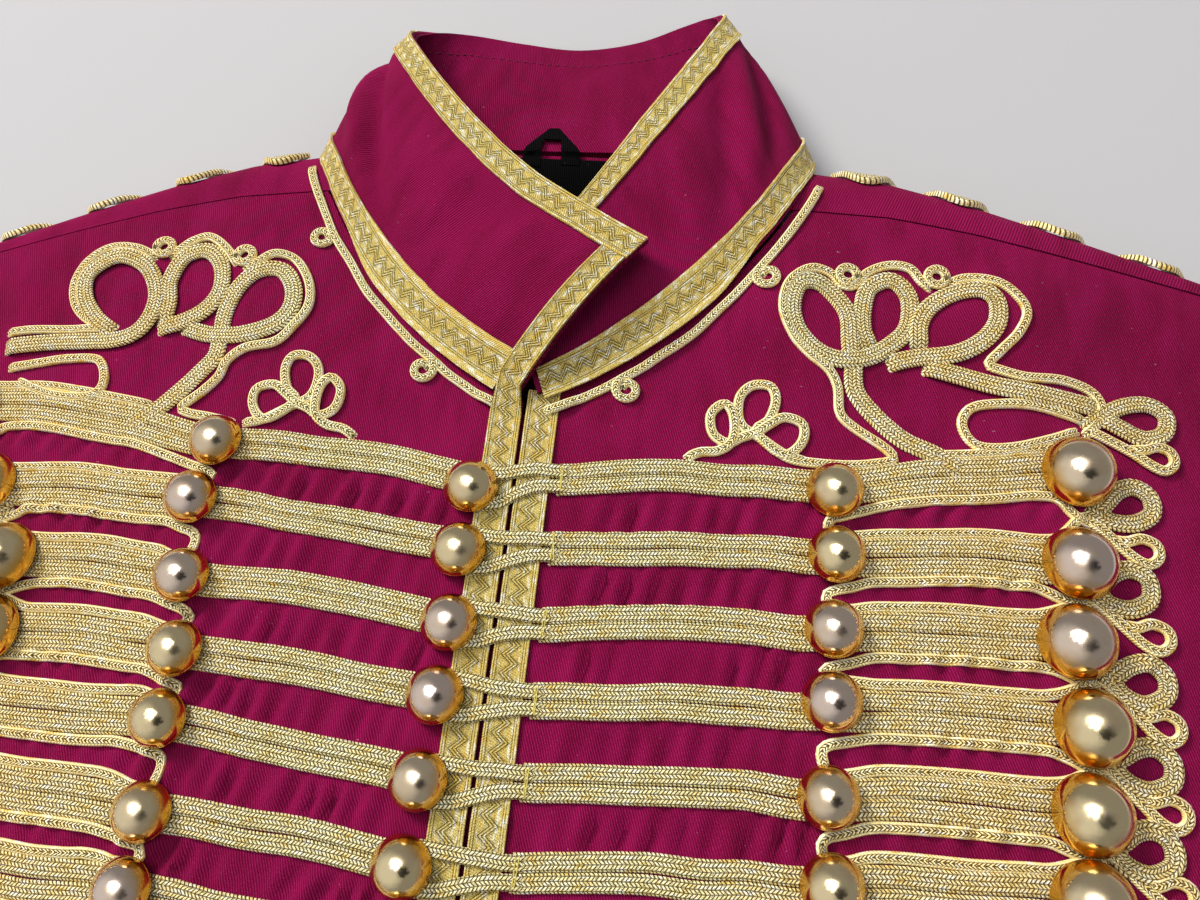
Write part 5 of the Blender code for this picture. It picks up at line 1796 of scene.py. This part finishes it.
def add_button(piece, x, y, radius, height, turn):
    """A hollow gilt dome with a turned rim, leaning a little on its shank."""
    axis = Vector((0.05 * math.cos(turn), 0.05 * math.sin(turn), 1.0)).normalized()
    side = axis.cross(Vector((0.0, 1.0, 0.0))).normalized()
    up = axis.cross(side)
    foot = Vector((x, y, cloth_z(x, y) + 1.8))
    outline = [through(BUTTON_OUTLINE, 0.5 * k) for k in range(1, 2 * len(BUTTON_OUTLINE) - 1)]
    points = [foot + axis * height]
    coords = [(0.0, 0.0)]
    for share, rise in outline:
        for k in range(BUTTON_SIDES):
            a = 2.0 * math.pi * k / BUTTON_SIDES
            points.append(foot + side * (radius * share * math.cos(a))
                          + up * (radius * share * math.sin(a)) + axis * (height * rise))
            coords.append((share, turn))
    faces = [(0, 1 + k, 1 + (k + 1) % BUTTON_SIDES) for k in range(BUTTON_SIDES)]
    for i in range(len(outline) - 1):
        a = 1 + i * BUTTON_SIDES
        b = a + BUTTON_SIDES
        for k in range(BUTTON_SIDES):
            n = (k + 1) % BUTTON_SIDES
            faces.append((a + k, b + k, b + n, a + n))
    last = 1 + (len(outline) - 1) * BUTTON_SIDES
    points.append(foot + axis * (height * 0.1))
    coords.append((0.0, turn))
    faces += [(last + (k + 1) % BUTTON_SIDES, last + k, len(points) - 1)
              for k in range(BUTTON_SIDES)]
    # The shank below the dome reaches the braid and the cloth
    top = len(points)
    low = top + SHANK_SIDES
    for level in (0.14, -0.16):
        for k in range(SHANK_SIDES):
            a = 2.0 * math.pi * k / SHANK_SIDES
            points.append(foot + side * (SHANK_R * math.cos(a)) + up * (SHANK_R * math.sin(a))
                          + axis * (height * level))
            coords.append((0.2, turn))
    for k in range(SHANK_SIDES):
        n = (k + 1) % SHANK_SIDES
        faces.append((top + k, low + k, low + n, top + n))
    faces.append(tuple(range(top, low)))
    faces.append(tuple(range(low, low + SHANK_SIDES))[::-1])
    piece.add(points, faces, coords)


def make_buttons(side, number, word):
    piece = Piece("buttons_%s_%02d" % (word, number))
    columns = ("inner", "outer") if side > 0 else ("centre", "inner", "outer")
    for k, column in enumerate(columns):
        x, y = button_place(side, column, number)
        large = column == "outer"
        add_button(piece, x, y, LARGE_BUTTON_R if large else SMALL_BUTTON_R,
                   LARGE_BUTTON_HEIGHT if large else SMALL_BUTTON_HEIGHT,
                   number * 2.1 + side * 1.3 + k * 1.7)
    piece.make(GILT, ["frog_%s_%02d" % (word, number)], sharp=80.0)


# ---------------------------------------------------------------- stitches

def add_stitch(piece, start, end, up, width):
    """One stitch of thread, rounded and sunk at both ends."""
    side = (end - start).cross(up).normalized()
    points = []
    coords = []
    shares = ((0.0, 0.3, -0.5), (0.16, 0.85, 0.1), (0.5, 1.0, 0.3), (0.84, 0.85, 0.1), (1.0, 0.3, -0.5))
    for along, size, rise in shares:
        middle = start.lerp(end, along) + up * (rise * width)
        for k in range(6):
            turn = math.pi * k / 3.0
            points.append(middle + side * (0.5 * width * size * math.cos(turn))
                          + up * (0.5 * width * size * math.sin(turn)))
            coords.append((along * (end - start).length, 0.2 * k))
    faces = [(5, 4, 3, 2, 1, 0), tuple(range(24, 30))]
    for i in range(4):
        for k in range(6):
            a = 6 * i + k
            b = 6 * i + (k + 1) % 6
            faces.append((a, b, b + 6, a + 6))
    piece.add(points, faces, coords)


def stitch_line(piece, points, pitch=3.4, width=0.55):
    """A row of stitches along a list of (point, point, normal)."""
    stops = lace_run(points, pitch / 4.0)
    for i in range(0, len(stops) - 3, 4):
        add_stitch(piece, stops[i][0], stops[i + 3][0], stops[i][2], width)


def make_facing_stitches():
    points = []
    for i in range(301):
        station = lerp(0.3, LAST_STATION - 0.3, i / 300.0)
        rise = 0.83 + 0.008 * wobble(station * 2.5, 3.0, 1.0)
        normal = collar_normal(station, rise)
        place = collar_point(station, rise) - normal * (COLLAR_WALL + SEAM_GAP + FACING_WALL)
        points.append((place, place, -normal))
    piece = Piece("collar_facing_stitches")
    stitch_line(piece, points)
    piece.make(THREAD)


# Place of the shoulder's stitches, in rows of the roll's table
STITCH_PLACE = 0.62


def make_shoulder_stitches(side, word):
    points = []
    for x in np.linspace(HPS_X + 9.0, ARMHOLE[0][0] - 4.0, 60):
        place = on_roll(side, x, STITCH_PLACE)
        points.append((place, place, roll_normal(side, x, STITCH_PLACE)))
    piece = Piece("shoulder_stitches_" + word)
    stitch_line(piece, points, width=0.6)
    piece.make(THREAD)


TACK_WIDTH = 0.38
TACK_HALF_LENGTH = 5.4
TACK_PROFILE = (
    # share_along, level
    (1.0, 0.0), (0.92, 1.0), (0.7, 1.65), (0.3, 1.6), (0.0, 1.45),
    (-0.3, 1.6), (-0.7, 1.65), (-0.92, 1.0), (-1.0, 0.0),
)


def make_tacks():
    """Yellow threads that hold each button loop's two strands together beside the front edge."""
    for number in range(1, ROW_COUNT + 1):
        piece = Piece("tack_%02d" % number)
        for k in range(2):
            x = LOOP_TACK_X - 0.3 + 0.5 * k + 0.5 * wobble(number * 1.9, k * 2.1, 5.0)
            lean = 1.1 * wobble(number * 2.7, k * 1.3, 2.0)
            middle = strand_y(1, number, x, 0.0)
            path = [(x + lean * share, middle + TACK_HALF_LENGTH * share, level)
                    for share, level in TACK_PROFILE]
            add_cord(piece, even_path(path, 0.8), TACK_WIDTH, TACK_WIDTH, ends_down=False)
        piece.make(TACK)


# ---------------------------------------------------------------- the jacket

for side, word in ((1, "left"), (-1, "right")):
    make_front("front_" + word, side)
    make_sleeve("top_sleeve_" + word, side, True)
    make_sleeve("under_sleeve_" + word, side, False)
    for number in range(1, ROW_COUNT + 1):
        make_frog(side, number, word)
        make_buttons(side, number, word)
    make_knot(side, word)
    make_neck_braid(side, word)
    make_shoulder_braid(side, word)
    make_front_lace(side, word)
    make_shoulder_stitches(side, word)
make_back()
make_underlap()
make_collar("collar_stand", 0.0, COLLAR_WALL)
make_collar("collar_facing", COLLAR_WALL + SEAM_GAP, FACING_WALL)
make_collar_lace("collar_top_lace", 0.0, LAST_STATION, TOP_LACE_LOW, 0.995)
make_collar_lace("neck_seam_lace", 0.4, LAST_STATION - 0.15, NECK_LACE_LOW, NECK_LACE_HIGH, 3.2)
make_label()
make_hanger_loop()
make_facing_stitches()
make_tacks()


# ---------------------------------------------------------------- floor, light and camera

floor_mesh = bpy.data.meshes.new("floor")
floor_mesh.from_pydata([(-4.0, -4.0, 0.0), (4.0, -4.0, 0.0), (4.0, 4.0, 0.0), (-4.0, 4.0, 0.0)],
                       [], [(0, 1, 2, 3)])
floor_mesh.materials.append(FLOOR)
floor = bpy.data.objects.new("floor", floor_mesh)
bpy.context.scene.collection.objects.link(floor)


def add_area(name, place, target, size, power, color):
    """A round soft light that the gilt doesn't mirror."""
    data = bpy.data.lights.new(name, "AREA")
    data.shape = "DISK"
    data.size = size
    data.energy = power
    data.color = color
    lamp = bpy.data.objects.new(name, data)
    lamp.location = place
    lamp.rotation_euler = (Vector(target) - Vector(place)).to_track_quat("-Z", "Y").to_euler()
    lamp.visible_glossy = False
    bpy.context.scene.collection.objects.link(lamp)


add_area("key_light", (-1.9, 1.5, 2.0), (0.0, 0.0, 0.0), 1.0, 150.0, (1.0, 0.985, 0.96))
add_area("fill_light", (2.2, -0.6, 2.2), (0.0, -0.05, 0.0), 2.2, 14.0, (0.97, 0.98, 1.0))


def make_world():
    """A pale studio with a broad bright side and a darker patch above, for the gilt to reflect."""
    world = bpy.data.worlds.new("studio")
    bpy.context.scene.world = world
    world.use_nodes = True
    nodes = Nodes(world.node_tree)
    tree = nodes.tree
    way = tree.nodes.new("ShaderNodeTexCoord").outputs["Generated"]
    shake = nodes.times(nodes.minus(nodes.cloud(way, 5.0), 0.5), 0.22)

    def patch(direction, start, full):
        """Rises from 0 to 1 towards a direction, with a ragged border."""
        dot = tree.nodes.new("ShaderNodeVectorMath")
        dot.operation = "DOT_PRODUCT"
        tree.links.new(way, dot.inputs[0])
        dot.inputs[1].default_value = Vector(direction).normalized()
        return nodes.between(nodes.math("ADD", dot.outputs["Value"], shake), start, full)

    window = patch((-0.16, 0.16, 0.97), 0.93, 0.985)
    room = patch((0.34, -0.2, 0.92), 0.92, 0.975)
    bright = patch((-0.62, -0.25, 0.75), 0.35, 0.95)
    level = nodes.scaled(window, 4.5, nodes.scaled(bright, 0.42, 0.24))
    level = nodes.times(level, nodes.minus(1.0, nodes.times(room, 0.9)))
    background = tree.nodes["Background"]
    nodes.put(background.inputs["Color"], (0.97, 0.975, 1.0))
    nodes.put(background.inputs["Strength"], level)


make_world()
bpy.context.scene.view_settings.view_transform = "Standard"

camera_data = bpy.data.cameras.new("camera")
camera_data.lens = 28.545
camera_data.sensor_width = 36.0
camera = bpy.data.objects.new("camera", camera_data)
camera.location = (0.0583, -0.1285, 0.3226)
toward = Vector((-0.1016, 0.3341, -0.9370)).normalized()
right = Vector((0.993, 0.097, -0.069))
right = (right - toward * right.dot(toward)).normalized()
up = right.cross(toward)
camera.rotation_euler = Matrix((right, up, -toward)).transposed().to_euler()
bpy.context.scene.collection.objects.link(camera)
bpy.context.scene.camera = camera
